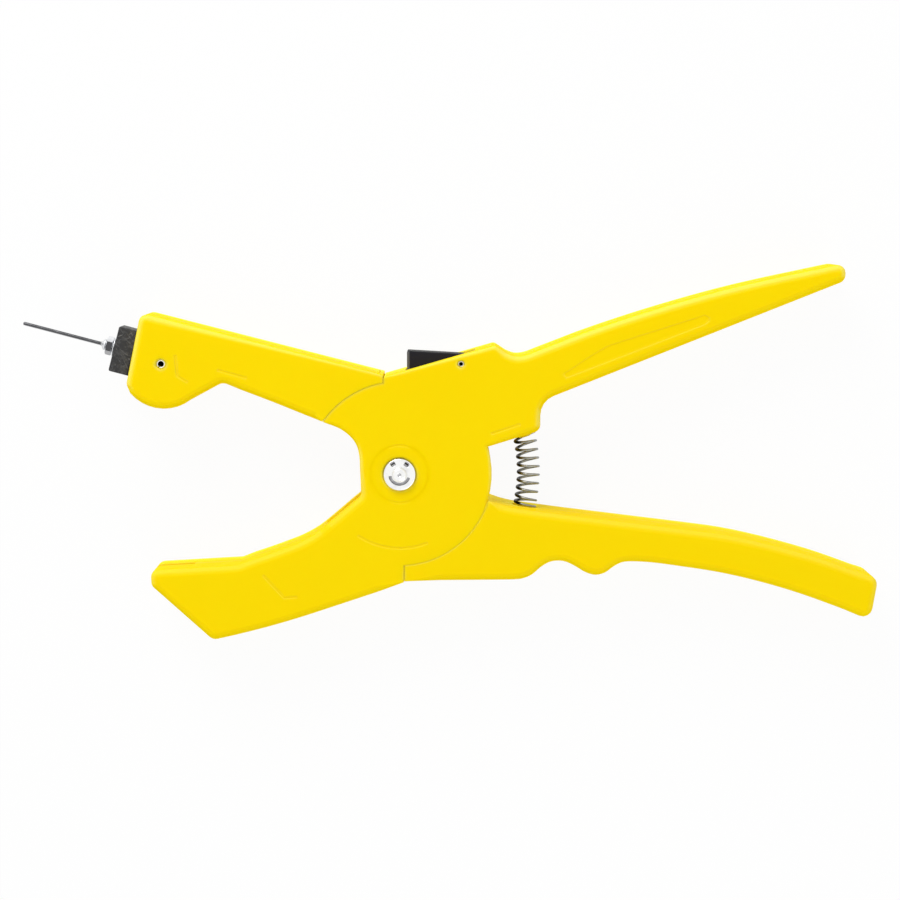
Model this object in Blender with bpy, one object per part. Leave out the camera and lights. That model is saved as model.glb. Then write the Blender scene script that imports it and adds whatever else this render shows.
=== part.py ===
"""Ear tag applicator: two crossed levers, a swinging needle carrier, a latch and a spring.

The tool lies on its back face.  The main pivot stands at x = 0, y = 0, the jaws reach
toward -X, the handles toward +X, and +Z looks out of the front face.
The frame is the root: upper handle, hub cheeks and lower jaw.
The lever crosses between the cheeks: upper jaw, tongue and lower handle.
Every plan outline is a table of shares of SPAN, so the whole tool scales with one size.
"""
import math

import bmesh
import bpy
from mathutils import Matrix, Vector

# overall sizes, metres
SPAN = 0.250
THICKNESS = 0.024
SEAM_GAP = 0.0003
POCKET_ROOM = 0.0005
PIN_SINK = 0.0005
FIT_GAP = 0.00035
STOP_GAP = 0.0003
WALL = 0.0027
SKIN = 0.0030
OVERCUT = 0.0015

# tongue, pivot and washers
TONGUE_THICKNESS = 0.0100
PIVOT_RADIUS = 0.0040
PIVOT_HEAD_RADIUS = 0.0070
PIVOT_HEAD_THICKNESS = 0.0016
PIVOT_STUB_RADIUS = 0.0023
PIVOT_GROOVE_RADIUS = 0.0016
PIVOT_DIMPLE_RADIUS = 0.0007
PIVOT_DIMPLE_DEPTH = 0.0004
PIVOT_DOME_RISE = 0.0006
BUSH_RADIUS = 0.0060
WASHER_RADIUS = 0.0052
WASHER_THICKNESS = 0.0007
CLIP_RADIUS = 0.0053
CLIP_THICKNESS = 0.0008
CLIP_NOTCH_WIDTH = 0.0016
CLIP_NOTCH_INNER = 0.0034
CLIP_NOTCH_OUTER = 0.0049
PIVOT_CHAMFER = 0.0003
DOME_SHARE = 0.8
CLIP_WINDOW_INNER = 0.0027
CLIP_WINDOW_OUTER = 0.0037
CLIP_NOTCH_DEGREES = (56, 122)
CLIP_WINDOW_DEGREES = (188, 342)
RECESS_RADIUS = 0.0057
RECESS_DEPTH = 0.0010
THRUST_RADIUS = 0.0095
THRUST_THICKNESS = 0.0005

# needle carrier
CARRIER_THICKNESS = 0.0100
CARRIER_REACH = 0.0172
CARRIER_UPPER = 0.0081
CARRIER_LOWER = 0.0073
CARRIER_CORNER = 0.0006
CARRIER_DEGREES = 165.3
CARRIER_SWING = 100
CARRIER_PIN_RADIUS = 0.0015
CARRIER_PIN_WALL = 0.0005
NEEDLE_OFFSET = 0.0005
NEEDLE_RADIUS = 0.0006
NEEDLE_REACH = 0.0492
NEEDLE_TIP_RADIUS = 0.0004
NEEDLE_TIP_LENGTH = 0.0006
STUD_RADIUS = 0.0015
STUD_DEPTH = 0.0070
FLARE_RADIUS = 0.0019
FLARE_LENGTH = 0.0014
NUT_FLATS = 0.0055
NUT_THICKNESS = 0.0022
NUT_CHAMFER = 0.0003
NEEDLE_WASHER_RADIUS = 0.0034
NEEDLE_WASHER_THICKNESS = 0.0003

# latch
LATCH_THICKNESS = 0.0100
LATCH_BACK_RADIUS = 0.0029
LATCH_PIN_RADIUS = 0.0009
LATCH_PIN_WALL = 0.0003
LATCH_CORNER = 0.0008
NOTCH_DEPTH = 0.0026
NOTCH_DEGREES = 64
NOTCH_SPREAD_DEGREES = 8

# screws
SCREW_RADIUS = 0.0015
SCREW_HEAD_RADIUS = 0.0028
SCREW_HEAD_HEIGHT = 0.0020
SCREW_LENGTH = 0.0150
SCREW_SINK = 0.0006
SCREW_CHAMFER = 0.0003
DRIVE_WIDTH = 0.0009
DRIVE_LENGTH = 0.0034
DRIVE_DEPTH = 0.0011

# handle spring
SPRING_RADIUS = 0.0035
WIRE_RADIUS = 0.00037
SPRING_TURNS = 9
SPRING_BOW = 0.0013
SPRING_SEAT_GAP = 0.0004
SPRING_POINTS = 10
SPRING_END_PITCH = 0.0020
PEG_RADIUS = 0.0024
PEG_HEIGHT = 0.0014
PEG_CHAMFER = 0.0004
SOCKET_RADIUS = 0.0044
SOCKET_DEPTH = 0.0007

# needle slot and surface lines
SLOT_WIDTH = 0.0036
LINE_WIDTH = 0.0007
LINE_DEPTH = 0.00012
PANEL_DEPTH = 0.00012
HUB_LINE_DEGREES = (236, 292)

# angles about the pivot
SEAT_DEGREES = 17.2
HORN_DEGREES = 145.5
TONGUE_INSET_DEGREES = 1
BULGE_DEGREES = (220.4, 307.7)

# plan outlines, shares of SPAN
# the frame: stop faces, hub, handle and lower jaw
HUB_SHARE = 0.1232
FRAME_STOP_TOP_SHARE = -0.0208
FRAME_STOP_TOP_Y_SHARE = 0.1292
FRAME_STOP_LOW_SHARE = 0.0052
FRAME_STOP_LOW_Y_SHARE = -0.1460
FRAME_TOP_SHARES = [
    (0.1424, 0.1620), (0.1544, 0.1576), (0.1680, 0.1588), (0.1860, 0.1656), (0.2080, 0.1740),
    (0.2400, 0.1864), (0.2800, 0.2004), (0.3280, 0.2160), (0.3804, 0.2316), (0.4348, 0.2464),
    (0.4892, 0.2592), (0.5400, 0.2700), (0.5700, 0.2764),
]
# peak of the hub, tip and heel of the handle, then the two corners of the spring seat
FRAME_CORNER_SHARES = [
    (0.1272, 0.1718), (0.5928, 0.2808), (0.5920, 0.2576), (0.1880, 0.0970), (0.1880, 0.0578),
]
FRAME_GRIP_BOTTOM_SHARES = [
    (0.1880, 0.0970), (0.5920, 0.2576),
]
FRAME_JAW_BOTTOM_SHARES = [
    (-0.0268, -0.1592), (-0.0804, -0.1772), (-0.1344, -0.1950), (-0.1800, -0.2084),
    (-0.2240, -0.2196),
]
# heel and toe of the lower jaw, its land and the corner in the throat
FRAME_JAW_CORNER_SHARES = [
    (-0.2524, -0.2260), (-0.3344, -0.1520), (-0.3356, -0.1304), (-0.0516, -0.0304),
]
FRAME_JAW_TOP_SHARES = [
    (-0.2172, -0.1236), (-0.2000, -0.1168), (-0.1780, -0.1094), (-0.1556, -0.1012),
    (-0.1336, -0.0924), (-0.1116, -0.0800), (-0.0896, -0.0624), (-0.0676, -0.0436),
]
THROAT_SHARES = [
    (-0.0532, 0.0100), (-0.0536, 0.0208), (-0.0560, 0.0344), (-0.0612, 0.0448), (-0.0696, 0.0536),
    (-0.0800, 0.0608), (-0.0904, 0.0652),
]
NECK_SHARE = 0.5
PEAK_WEIGHT_SHARE = 0.6
THROAT_WEIGHT_SHARE = 0.6
SHARPEST_SHARE = 0.5

# the lever: upper jaw, tongue and lower handle
LEVER_STOP_TOP_Y_SHARE = 0.1320
LEVER_STOP_LOW_Y_SHARE = -0.1446
LEVER_NOSE_SHARES = [
    (-0.3444, 0.2152), (-0.3644, 0.1200),
]
BULGE_CENTRE_SHARES = (-0.3144, 0.1460)
BULGE_SHARE = 0.0590
LEVER_APEX_SHARES = (-0.2356, 0.1224)
LEVER_JAW_BOTTOM_SHARES = [
    (-0.2120, 0.1126), (-0.1696, 0.0964), (-0.1360, 0.0828), (-0.1140, 0.0740),
]
LEVER_GRIP_BOTTOM_SHARES = [
    (0.0540, -0.1444), (0.1040, -0.1440), (0.1528, -0.1434), (0.1664, -0.1416), (0.1780, -0.1364),
    (0.1896, -0.1264), (0.2008, -0.1198), (0.2124, -0.1178), (0.2240, -0.1196), (0.2368, -0.1260),
    (0.2496, -0.1336), (0.2632, -0.1372), (0.2760, -0.1340), (0.2864, -0.1264), (0.2976, -0.1204),
    (0.3120, -0.1188), (0.3400, -0.1204), (0.3760, -0.1252), (0.4296, -0.1336), (0.4832, -0.1460),
    (0.5372, -0.1620), (0.5912, -0.1816), (0.6060, -0.1876),
]
LEVER_GRIP_END_SHARES = [
    (0.6340, -0.1992), (0.6436, -0.1416),
]
LEVER_GRIP_TOP_SHARES = [
    (0.6180, -0.1336), (0.5828, -0.1208), (0.5496, -0.1100), (0.4940, -0.0948), (0.4388, -0.0828),
    (0.3836, -0.0752), (0.3288, -0.0684), (0.2736, -0.0616), (0.2184, -0.0548), (0.1800, -0.0496),
    (0.1524, -0.0456), (0.1340, -0.0412),
]
# left edge of the tongue, from the lower stop up to the upper jaw
TONGUE_SHARES = [
    (-0.0140, -0.1100), (-0.0360, -0.0560), (-0.0464, -0.0200), (-0.0472, 0.0140),
    (-0.0544, 0.0368), (-0.0728, 0.0544),
]
TONGUE_ROOT_SHARE = 0.0140

# pins, latch and slots
CARRIER_PIN_SHARES = (-0.3172, 0.1474)
LATCH_PIN_SHARES = (0.0820, 0.1474)
POCKET_REACH_SHARE = 0.1200
# latch nose from its upper corner down the front and back along the tooth
LATCH_NOSE_SHARES = [
    (0.0112, 0.1628), (0.0112, 0.1260), (0.0272, 0.1252), (0.0344, 0.1304),
]
LATCH_SLOT_SHARES = [
    (0.0080, 0.2000), (0.0080, 0.1100), (0.0384, 0.1100), (0.0384, 0.1276), (0.0904, 0.1276),
    (0.1008, 0.1380), (0.1008, 0.2000),
]
NEEDLE_SLOT_SHARES = [
    (-0.3600, -0.2480), (-0.2792, -0.2480), (-0.2792, -0.1000), (-0.3600, -0.1000),
]
SPRING_UPPER_SHARE = 0.1672
SPRING_LOWER_SHARE = 0.1688

# screws, cored hollows and surface lines
FRAME_SCREW_SHARES = [
    (-0.1100, -0.1400), (0.1608, 0.1248), (0.4440, 0.2248),
]
LEVER_SCREW_SHARES = [
    (-0.1560, 0.1272), (0.1888, -0.0864), (0.5040, -0.1256),
]
FRAME_GRIP_HOLLOWS_SHARES = [(0.2240, 0.3160), (0.3260, 0.4200)]
FRAME_JAW_HOLLOWS_SHARES = [(-0.2080, -0.1400)]
LEVER_JAW_HOLLOWS_SHARES = [(-0.2160, -0.1800)]
LEVER_GRIP_HOLLOWS_SHARES = [(0.2160, 0.3360), (0.3460, 0.4780), (0.5300, 0.5960)]
HOLLOW_STEPS = 8
SCREW_NAMES = ("jaw", "neck", "grip")
FRAME_LINE_SHARES = [
    [(-0.1833, -0.1367), (-0.1553, -0.1673), (-0.1380, -0.1660)],
    [(0.1228, 0.0544), (0.1608, 0.0668)],
]
LEVER_LINE_SHARES = [
    [(-0.2980, 0.1593), (-0.2953, 0.1313), (-0.2820, 0.1233)],
    [(-0.2420, 0.1393), (-0.2033, 0.1287)],
]
PANEL_UPPER_SHARES = [
    (0.2767, 0.1713), (0.3007, 0.1793), (0.3473, 0.1940), (0.3940, 0.2087), (0.4047, 0.2127),
]
PANEL_LOWER_SHARES = [
    (0.4113, 0.2093), (0.4113, 0.2047), (0.4060, 0.2000), (0.2220, 0.1287), (0.2180, 0.1340),
    (0.2540, 0.1580),
]
HUB_LINE_SHARE = 0.1000
RING_LINE_SHARE = 0.0372

# roundings of the outlines and of their outer edge, shares of SPAN
EDGE_ROUND_SHARE = 0.0092
PEAK_CORNER_SHARE = 0.0068
APEX_CORNER_SHARE = 0.0120
HANDLE_TIP_CORNER_SHARE = 0.0104
HANDLE_HEEL_CORNER_SHARE = 0.0108
SHOULDER_INNER_CORNER_SHARE = 0.0280
SHOULDER_CORNER_SHARE = 0.0104
JAW_CORNER_SHARE = 0.0128
LAND_CORNER_SHARE = 0.0104
THROAT_CORNER_SHARE = 0.0104
NOSE_CORNER_SHARE = 0.0104
NOSE_LOWER_CORNER_SHARE = 0.0104
GRIP_END_CORNER_SHARE = 0.0128

# mesh fineness
CURVE_STEPS = 3
CORNER_STEPS = 4
EDGE_STEPS = 3
ARC_STEP_DEGREES = 7
ROUND_SIDES = 24
POCKET_SIDES = 72
PEG_STEPS = 8
GAP_SAMPLES = 4
SMALL_SIDES = 16
WELD = 0.00002
SHARP_DEGREES = 28

# derived places
MID = THICKNESS / 2
HUB_RADIUS = SPAN * HUB_SHARE
RIM_RADIUS = HUB_RADIUS - STOP_GAP
SHOULDER_RADIUS = HUB_RADIUS + STOP_GAP
POCKET_RADIUS = HUB_RADIUS + FIT_GAP
TONGUE_HALF = TONGUE_THICKNESS / 2
CHEEK_INNER = TONGUE_HALF + FIT_GAP
HALF_GAP = SEAM_GAP / 2
TURN = 360
QUARTER = 90
TONGUE_ROOT = SPAN * TONGUE_ROOT_SHARE


def place(share_pair):
    """Plan point in metres from a pair of shares of SPAN."""
    return Vector((share_pair[0] * SPAN, share_pair[1] * SPAN))


def places(shares):
    """Plan points in metres from a table of shares of SPAN."""
    return [place(pair) for pair in shares]


def polar(radius, degrees):
    """Plan point at a radius and an angle about the main pivot."""
    angle = math.radians(degrees)
    return Vector((radius * math.cos(angle), radius * math.sin(angle)))


def arc(radius, start, end, centre=(0, 0), step=ARC_STEP_DEGREES):
    """Points along an arc, both ends included."""
    count = max(2, math.ceil(abs(end - start) / step))
    middle = Vector(centre)
    return [middle + polar(radius, start + (end - start) * i / count) for i in range(count + 1)]


def hub_angle(radius, x, upper):
    """Angle where a circle about the pivot crosses a vertical line."""
    angle = math.degrees(math.acos(x / radius))
    return angle if upper else -angle


def smooth(points, steps=CURVE_STEPS):
    """Soft curve through the points, both ends included."""
    result = []
    for i in range(len(points) - 1):
        before = points[max(i - 1, 0)]
        here, there = points[i], points[i + 1]
        after = points[min(i + 2, len(points) - 1)]
        for k in range(steps):
            t = k / steps
            a = here * 2
            b = there - before
            c = before * 2 - here * 5 + there * 4 - after
            d = here * 3 - before - there * 3 + after
            result.append((a + b * t + c * t * t + d * t * t * t) / 2)
    result.append(points[-1])
    return result


def corner(before, tip, after, radius, steps=CORNER_STEPS):
    """Points of a round corner between two straight edges."""
    to_before = (before - tip).normalized()
    to_after = (after - tip).normalized()
    half = math.acos(max(-1, min(1, to_before.dot(to_after)))) / 2
    reach = radius / math.tan(half)
    centre = tip + (to_before + to_after).normalized() * (radius / math.sin(half))
    first = tip + to_before * reach - centre
    last = tip + to_after * reach - centre
    sweep = first.angle_signed(last)
    return [centre + Matrix.Rotation(-sweep * i / steps, 2) @ first for i in range(steps + 1)]


def area(points):
    """Signed area of a plan outline."""
    total = 0
    for i, here in enumerate(points):
        there = points[(i + 1) % len(points)]
        total += here.x * there.y - there.x * here.y
    return total / 2


def anticlockwise(points, extra=None):
    """The outline, and its list of values, in anticlockwise order."""
    if area(points) < 0:
        points = points[::-1]
        extra = extra[::-1] if extra is not None else None
    return points, extra


def face_outward(mesh_builder):
    """Turns every face outward."""
    bmesh.ops.recalc_face_normals(mesh_builder, faces=mesh_builder.faces)
    if mesh_builder.calc_volume(signed=True) < 0:
        bmesh.ops.reverse_faces(mesh_builder, faces=mesh_builder.faces)


def new_object(name, mesh_builder):
    """Object from a finished bmesh."""
    bmesh.ops.remove_doubles(mesh_builder, verts=mesh_builder.verts, dist=WELD)
    face_outward(mesh_builder)
    mesh = bpy.data.meshes.new(name)
    mesh_builder.to_mesh(mesh)
    mesh_builder.free()
    thing = bpy.data.objects.new(name, mesh)
    bpy.context.scene.collection.objects.link(thing)
    return thing


def skin(name, rings):
    """Closed solid through rings of equal count, with flat caps at both ends."""
    builder = bmesh.new()
    layers = [[builder.verts.new(point) for point in ring] for ring in rings]
    count = len(layers[0])
    sides = []
    for low, high in zip(layers, layers[1:]):
        for i in range(count):
            j = (i + 1) % count
            sides.append(builder.faces.new((low[i], low[j], high[j], high[i])))
    if len(layers) > 2:
        bmesh.ops.triangulate(builder, faces=sides)
    builder.faces.new(layers[0][::-1])
    builder.faces.new(layers[-1])
    return new_object(name, builder)


def prism(name, outline, low, high):
    """Upright prism between two world heights."""
    outline, _ = anticlockwise(outline)
    return skin(name, [[(p.x, p.y, z) for p in outline] for z in (low, high)])


def half_prism(name, outline, low, high, side):
    """Prism between two heights measured from the middle plane toward one side."""
    ends = sorted((MID + side * low, MID + side * high))
    return prism(name, outline, ends[0], ends[1])


def edge_radii(points, weights):
    """Edge rounding at each outline point, tapered to nothing next to seams."""
    count = len(points)
    radii = [SPAN * EDGE_ROUND_SHARE * weight for weight in weights]
    for _ in range(2):
        for order in (range(count), range(count - 1, -1, -1)):
            for i in order:
                for j in (i - 1, (i + 1) % count):
                    reach = (points[i] - points[j]).length
                    radii[i] = min(radii[i], radii[j] + reach)
    return radii


def rounded_half(name, outline, weights, side):
    """Half of a lever, split at the middle plane, with a round outer edge."""
    outline, weights = anticlockwise(outline, weights)
    radii = edge_radii(outline, weights)
    count = len(outline)
    inward = []
    for i in range(count):
        first = (outline[i] - outline[i - 1]).normalized()
        second = (outline[(i + 1) % count] - outline[i]).normalized()
        along = (first + second).normalized()
        lean = max(along.dot(first), SHARPEST_SHARE)
        inward.append(Vector((-along.y, along.x)) / lean)
    rings = [[(p.x, p.y, MID + side * HALF_GAP) for p in outline]]
    for step in range(EDGE_STEPS + 1):
        angle = math.pi / 2 * step / EDGE_STEPS
        ring = []
        for i, point in enumerate(outline):
            moved = point + inward[i] * radii[i] * (1 - math.cos(angle))
            height = MID - radii[i] * (1 - math.sin(angle))
            ring.append((moved.x, moved.y, MID + side * height))
        rings.append(ring)
    return skin(name, rings)


def turned(name, profile, origin, axis, sides=ROUND_SIDES):
    """Solid of revolution from (radius, distance) pairs along an axis."""
    direction = Vector(axis).normalized()
    turn = direction.to_track_quat("Z", "Y").to_matrix()
    start = Vector(origin)
    builder = bmesh.new()
    layers = []
    for radius, distance in profile:
        if radius > 0:
            ring = [polar(radius, TURN * i / sides) for i in range(sides)]
            spots = [start + turn @ Vector((p.x, p.y, distance)) for p in ring]
        else:
            spots = [start + turn @ Vector((0, 0, distance))]
        layers.append([builder.verts.new(spot) for spot in spots])
    for low, high in zip(layers, layers[1:]):
        for i in range(sides):
            j = (i + 1) % sides
            if len(low) == 1:
                builder.faces.new((low[0], high[j], high[i]))
            elif len(high) == 1:
                builder.faces.new((low[i], low[j], high[0]))
            else:
                builder.faces.new((low[i], low[j], high[j], high[i]))
    for layer in (layers[0], layers[-1]):
        if len(layer) > 1:
            builder.faces.new(layer)
    return new_object(name, builder)


def tube(name, outer, inner, origin, axis, length, sides=ROUND_SIDES):
    """Plain tube along an axis."""
    direction = Vector(axis).normalized()
    turn = direction.to_track_quat("Z", "Y").to_matrix()
    start = Vector(origin)
    builder = bmesh.new()
    layers = []
    for radius, distance in ((outer, 0), (outer, length), (inner, length), (inner, 0)):
        ring = [polar(radius, TURN * i / sides) for i in range(sides)]
        layers.append([builder.verts.new(start + turn @ Vector((p.x, p.y, distance)))
                       for p in ring])
    for low, high in zip(layers, layers[1:] + layers[:1]):
        for i in range(sides):
            j = (i + 1) % sides
            builder.faces.new((low[i], low[j], high[j], high[i]))
    return new_object(name, builder)


def combine(target, tool, operation):
    """Boolean of two solids kept in the first, the second goes."""
    change = target.modifiers.new("join", "BOOLEAN")
    change.operation = operation
    change.solver = "EXACT"
    change.object = tool
    bpy.context.view_layer.update()
    graph = bpy.context.evaluated_depsgraph_get()
    mesh = bpy.data.meshes.new_from_object(target.evaluated_get(graph))
    target.modifiers.clear()
    old = target.data
    target.data = mesh
    bpy.data.meshes.remove(old)
    bpy.data.objects.remove(tool, do_unlink=True)


def cut(target, tool):
    """Takes one solid out of another."""
    combine(target, tool, "DIFFERENCE")


def add(target, tool):
    """Adds one solid to another."""
    combine(target, tool, "UNION")


def tidy(thing):
    """Welds stray points and drops the flat slivers a cut can leave."""
    builder = bmesh.new()
    builder.from_mesh(thing.data)
    bmesh.ops.remove_doubles(builder, verts=builder.verts, dist=WELD)
    bmesh.ops.dissolve_degenerate(builder, edges=builder.edges, dist=WELD)
    face_outward(builder)
    builder.to_mesh(thing.data)
    builder.free()


def material(name, colour, roughness, metallic):
    """Plain surface colour for one piece."""
    result = bpy.data.materials.new(name)
    result.use_nodes = True
    shader = result.node_tree.nodes["Principled BSDF"]
    shader.inputs["Base Color"].default_value = (*colour, 1)
    shader.inputs["Roughness"].default_value = roughness
    shader.inputs["Metallic"].default_value = metallic
    return result


YELLOW = ((0.98, 0.70, 0.004), 0.42, 0.0)
BLACK = ((0.022, 0.019, 0.026), 0.45, 0.0)
GREY = ((0.045, 0.045, 0.048), 0.50, 0.0)
STEEL = ((0.62, 0.62, 0.64), 0.30, 1.0)
DARK_STEEL = ((0.20, 0.20, 0.21), 0.40, 1.0)
WIRE_STEEL = ((0.20, 0.18, 0.14), 0.42, 1.0)
BRONZE = ((0.50, 0.33, 0.14), 0.35, 1.0)


def finish(thing, name, look, origin):
    """Names a piece, sets its surface and moves its origin to the stated point."""
    tidy(thing)
    thing.name = name
    thing.data.name = name
    thing.data.materials.clear()
    thing.data.materials.append(material(name, *look))
    shift = Vector(origin)
    thing.data.transform(Matrix.Translation(-shift))
    thing.location = shift
    thing.data.shade_smooth()
    thing.data.set_sharp_from_angle(angle=math.radians(SHARP_DEGREES))
    return thing


def height_at(points, x):
    """Height of a left-to-right or right-to-left curve at one x."""
    ordered = sorted(points, key=lambda p: p.x)
    for left, right in zip(ordered, ordered[1:]):
        if left.x <= x <= right.x and right.x > left.x:
            return left.y + (right.y - left.y) * (x - left.x) / (right.x - left.x)
    return ordered[0].y if x < ordered[0].x else ordered[-1].y


def hollow(top, bottom, start_share, end_share):
    """Outline of a cored hollow between two edges of a lever."""
    spots = [SPAN * (start_share + (end_share - start_share) * i / HOLLOW_STEPS)
             for i in range(HOLLOW_STEPS + 1)]
    upper = [Vector((x, height_at(top, x) - WALL)) for x in spots]
    lower = [Vector((x, height_at(bottom, x) + WALL)) for x in spots]
    return lower + upper[::-1]


def ribbon(points, width):
    """Narrow outline that follows a line of points."""
    left, right = [], []
    for i, point in enumerate(points):
        before = points[max(i - 1, 0)]
        after = points[min(i + 1, len(points) - 1)]
        along = (after - before).normalized()
        side = Vector((-along.y, along.x)) * (width / 2)
        left.append(point + side)
        right.append(point - side)
    return left + right[::-1]


def tagged(points, weight):
    """Outline points that share one edge weight."""
    return [(point, weight) for point in points]


def split(pairs):
    """Separate lists of points and weights, without repeated points."""
    points, weights = [], []
    for point, weight in pairs:
        if points and (point - points[-1]).length < WELD * 4:
            continue
        points.append(point)
        weights.append(weight)
    if (points[0] - points[-1]).length < WELD * 4:
        points.pop()
        weights.pop()
    return points, weights


class Plan:
    """Plan curves and outlines of both levers, worked out once."""

    def __init__(self):
        self.frame_top = smooth(places(FRAME_TOP_SHARES))
        self.frame_jaw_bottom = smooth(places(FRAME_JAW_BOTTOM_SHARES))
        self.frame_jaw_top = smooth(places(FRAME_JAW_TOP_SHARES))
        self.lever_jaw_bottom = smooth(places(LEVER_JAW_BOTTOM_SHARES))
        self.lever_grip_bottom = smooth(places(LEVER_GRIP_BOTTOM_SHARES))
        self.lever_grip_top = smooth(places(LEVER_GRIP_TOP_SHARES))
        self.carrier_pin = place(CARRIER_PIN_SHARES)
        self.latch_pin = place(LATCH_PIN_SHARES)
        self.frame = self.frame_outline()
        self.lever_jaw = self.lever_jaw_outline()
        self.lever_grip = self.lever_grip_outline()

    def frame_outline(self):
        """Upper handle, hub cheek and lower jaw in one outline."""
        top_x = SPAN * FRAME_STOP_TOP_SHARE
        low_x = SPAN * FRAME_STOP_LOW_SHARE
        top_face = place((FRAME_STOP_TOP_SHARE, FRAME_STOP_TOP_Y_SHARE))
        low_face = place((FRAME_STOP_LOW_SHARE, FRAME_STOP_LOW_Y_SHARE))
        peak, tip, heel, inner, outer = places(FRAME_CORNER_SHARES)
        jaw, toe, land, throat = places(FRAME_JAW_CORNER_SHARES)
        seat = polar(HUB_RADIUS, SEAT_DEGREES)
        pairs = []
        pairs += tagged([polar(HUB_RADIUS, hub_angle(HUB_RADIUS, top_x, True))], 0)
        pairs += tagged([top_face], 0)
        pairs += tagged(corner(top_face, peak, self.frame_top[0], SPAN * PEAK_CORNER_SHARE),
                        PEAK_WEIGHT_SHARE)
        pairs += tagged(self.frame_top, 1)
        pairs += tagged(corner(self.frame_top[-1], tip, heel, SPAN * HANDLE_TIP_CORNER_SHARE), 1)
        pairs += tagged(corner(tip, heel, inner, SPAN * HANDLE_HEEL_CORNER_SHARE), 1)
        pairs += tagged(corner(heel, inner, outer, SPAN * SHOULDER_INNER_CORNER_SHARE), 1)
        pairs += tagged(corner(inner, outer, seat, SPAN * SHOULDER_CORNER_SHARE), 1)
        low_angle = hub_angle(HUB_RADIUS, low_x, False)
        neck = arc(HUB_RADIUS, SEAT_DEGREES, -SEAT_DEGREES)
        pairs += tagged(neck, NECK_SHARE)
        pairs += tagged(arc(HUB_RADIUS, -SEAT_DEGREES, low_angle)[1:], 0)
        pairs += tagged([low_face], 0)
        pairs += tagged(self.frame_jaw_bottom, 1)
        pairs += tagged(corner(self.frame_jaw_bottom[-1], jaw, toe, SPAN * JAW_CORNER_SHARE), 1)
        pairs += tagged(corner(jaw, toe, land, SPAN * LAND_CORNER_SHARE), 1)
        pairs += tagged(corner(toe, land, self.frame_jaw_top[0], SPAN * LAND_CORNER_SHARE), 1)
        pairs += tagged(self.frame_jaw_top, 1)
        pairs += tagged(corner(self.frame_jaw_top[-1], throat, places(THROAT_SHARES)[0],
                               SPAN * THROAT_CORNER_SHARE), 1)
        pairs += tagged(smooth(places(THROAT_SHARES)), THROAT_WEIGHT_SHARE)
        horn = polar(HUB_RADIUS, HORN_DEGREES)
        pairs += tagged([horn], 0)
        top_angle = hub_angle(HUB_RADIUS, top_x, True)
        pairs += tagged(arc(HUB_RADIUS, HORN_DEGREES, top_angle)[1:], 0)
        return split(pairs)

    def lever_jaw_outline(self):
        """Upper jaw outside the hub."""
        x = SPAN * FRAME_STOP_TOP_SHARE - STOP_GAP
        start = hub_angle(SHOULDER_RADIUS, x, True)
        face = Vector((x, SPAN * LEVER_STOP_TOP_Y_SHARE))
        nose, chin = places(LEVER_NOSE_SHARES)
        bulge = arc(SPAN * BULGE_SHARE, BULGE_DEGREES[0], BULGE_DEGREES[1],
                    place(BULGE_CENTRE_SHARES), step=ARC_STEP_DEGREES * 1.5)
        apex = place(LEVER_APEX_SHARES)
        pairs = tagged([polar(SHOULDER_RADIUS, start), face], 0)
        pairs += tagged(corner(face, nose, chin, SPAN * NOSE_CORNER_SHARE), 1)
        pairs += tagged(corner(nose, chin, bulge[0], SPAN * NOSE_LOWER_CORNER_SHARE), 1)
        pairs += tagged(bulge, 1)
        pairs += tagged(corner(bulge[-1], apex, self.lever_jaw_bottom[0],
                               SPAN * APEX_CORNER_SHARE), 1)
        pairs += tagged(self.lever_jaw_bottom, 1)
        pairs += tagged(arc(SHOULDER_RADIUS, HORN_DEGREES, start), 0)
        return split(pairs)

    def lever_grip_outline(self):
        """Lower handle outside the hub."""
        x = SPAN * FRAME_STOP_LOW_SHARE + STOP_GAP
        start = hub_angle(SHOULDER_RADIUS, x, False)
        face = Vector((x, SPAN * LEVER_STOP_LOW_Y_SHARE))
        end_low, end_top = places(LEVER_GRIP_END_SHARES)
        bottom, top = self.lever_grip_bottom, self.lever_grip_top
        pairs = tagged([polar(SHOULDER_RADIUS, start), face], 0)
        pairs += tagged(bottom, 1)
        pairs += tagged(corner(bottom[-1], end_low, end_top, SPAN * GRIP_END_CORNER_SHARE), 1)
        pairs += tagged(corner(end_low, end_top, top[0], SPAN * GRIP_END_CORNER_SHARE), 1)
        pairs += tagged(top, 1)
        pairs += tagged(arc(SHOULDER_RADIUS, -SEAT_DEGREES, start), 0)
        return split(pairs)

    def tongue_outline(self):
        """Flat tongue that joins the upper jaw and the lower handle inside the hub."""
        low_x = SPAN * FRAME_STOP_LOW_SHARE + STOP_GAP
        low = hub_angle(RIM_RADIUS, low_x, False)
        notch_low = NOTCH_DEGREES - NOTCH_SPREAD_DEGREES / 2
        notch_high = NOTCH_DEGREES + NOTCH_SPREAD_DEGREES / 2
        top = hub_angle(RIM_RADIUS, SPAN * FRAME_STOP_TOP_SHARE - STOP_GAP, True)
        outer = SHOULDER_RADIUS + TONGUE_ROOT
        points = arc(outer, HORN_DEGREES - TONGUE_INSET_DEGREES, top + TONGUE_INSET_DEGREES)
        points += arc(RIM_RADIUS, top, notch_high)
        points += arc(RIM_RADIUS - NOTCH_DEPTH, notch_high, notch_low)
        points += arc(RIM_RADIUS, notch_low, -SEAT_DEGREES)
        points += arc(outer, -SEAT_DEGREES - TONGUE_INSET_DEGREES, low + TONGUE_INSET_DEGREES)
        points += [polar(RIM_RADIUS, low)]
        points += smooth(places(TONGUE_SHARES), 2)
        points += [polar(RIM_RADIUS, HORN_DEGREES - TONGUE_INSET_DEGREES / 2)]
        return points


PLAN = Plan()


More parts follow.
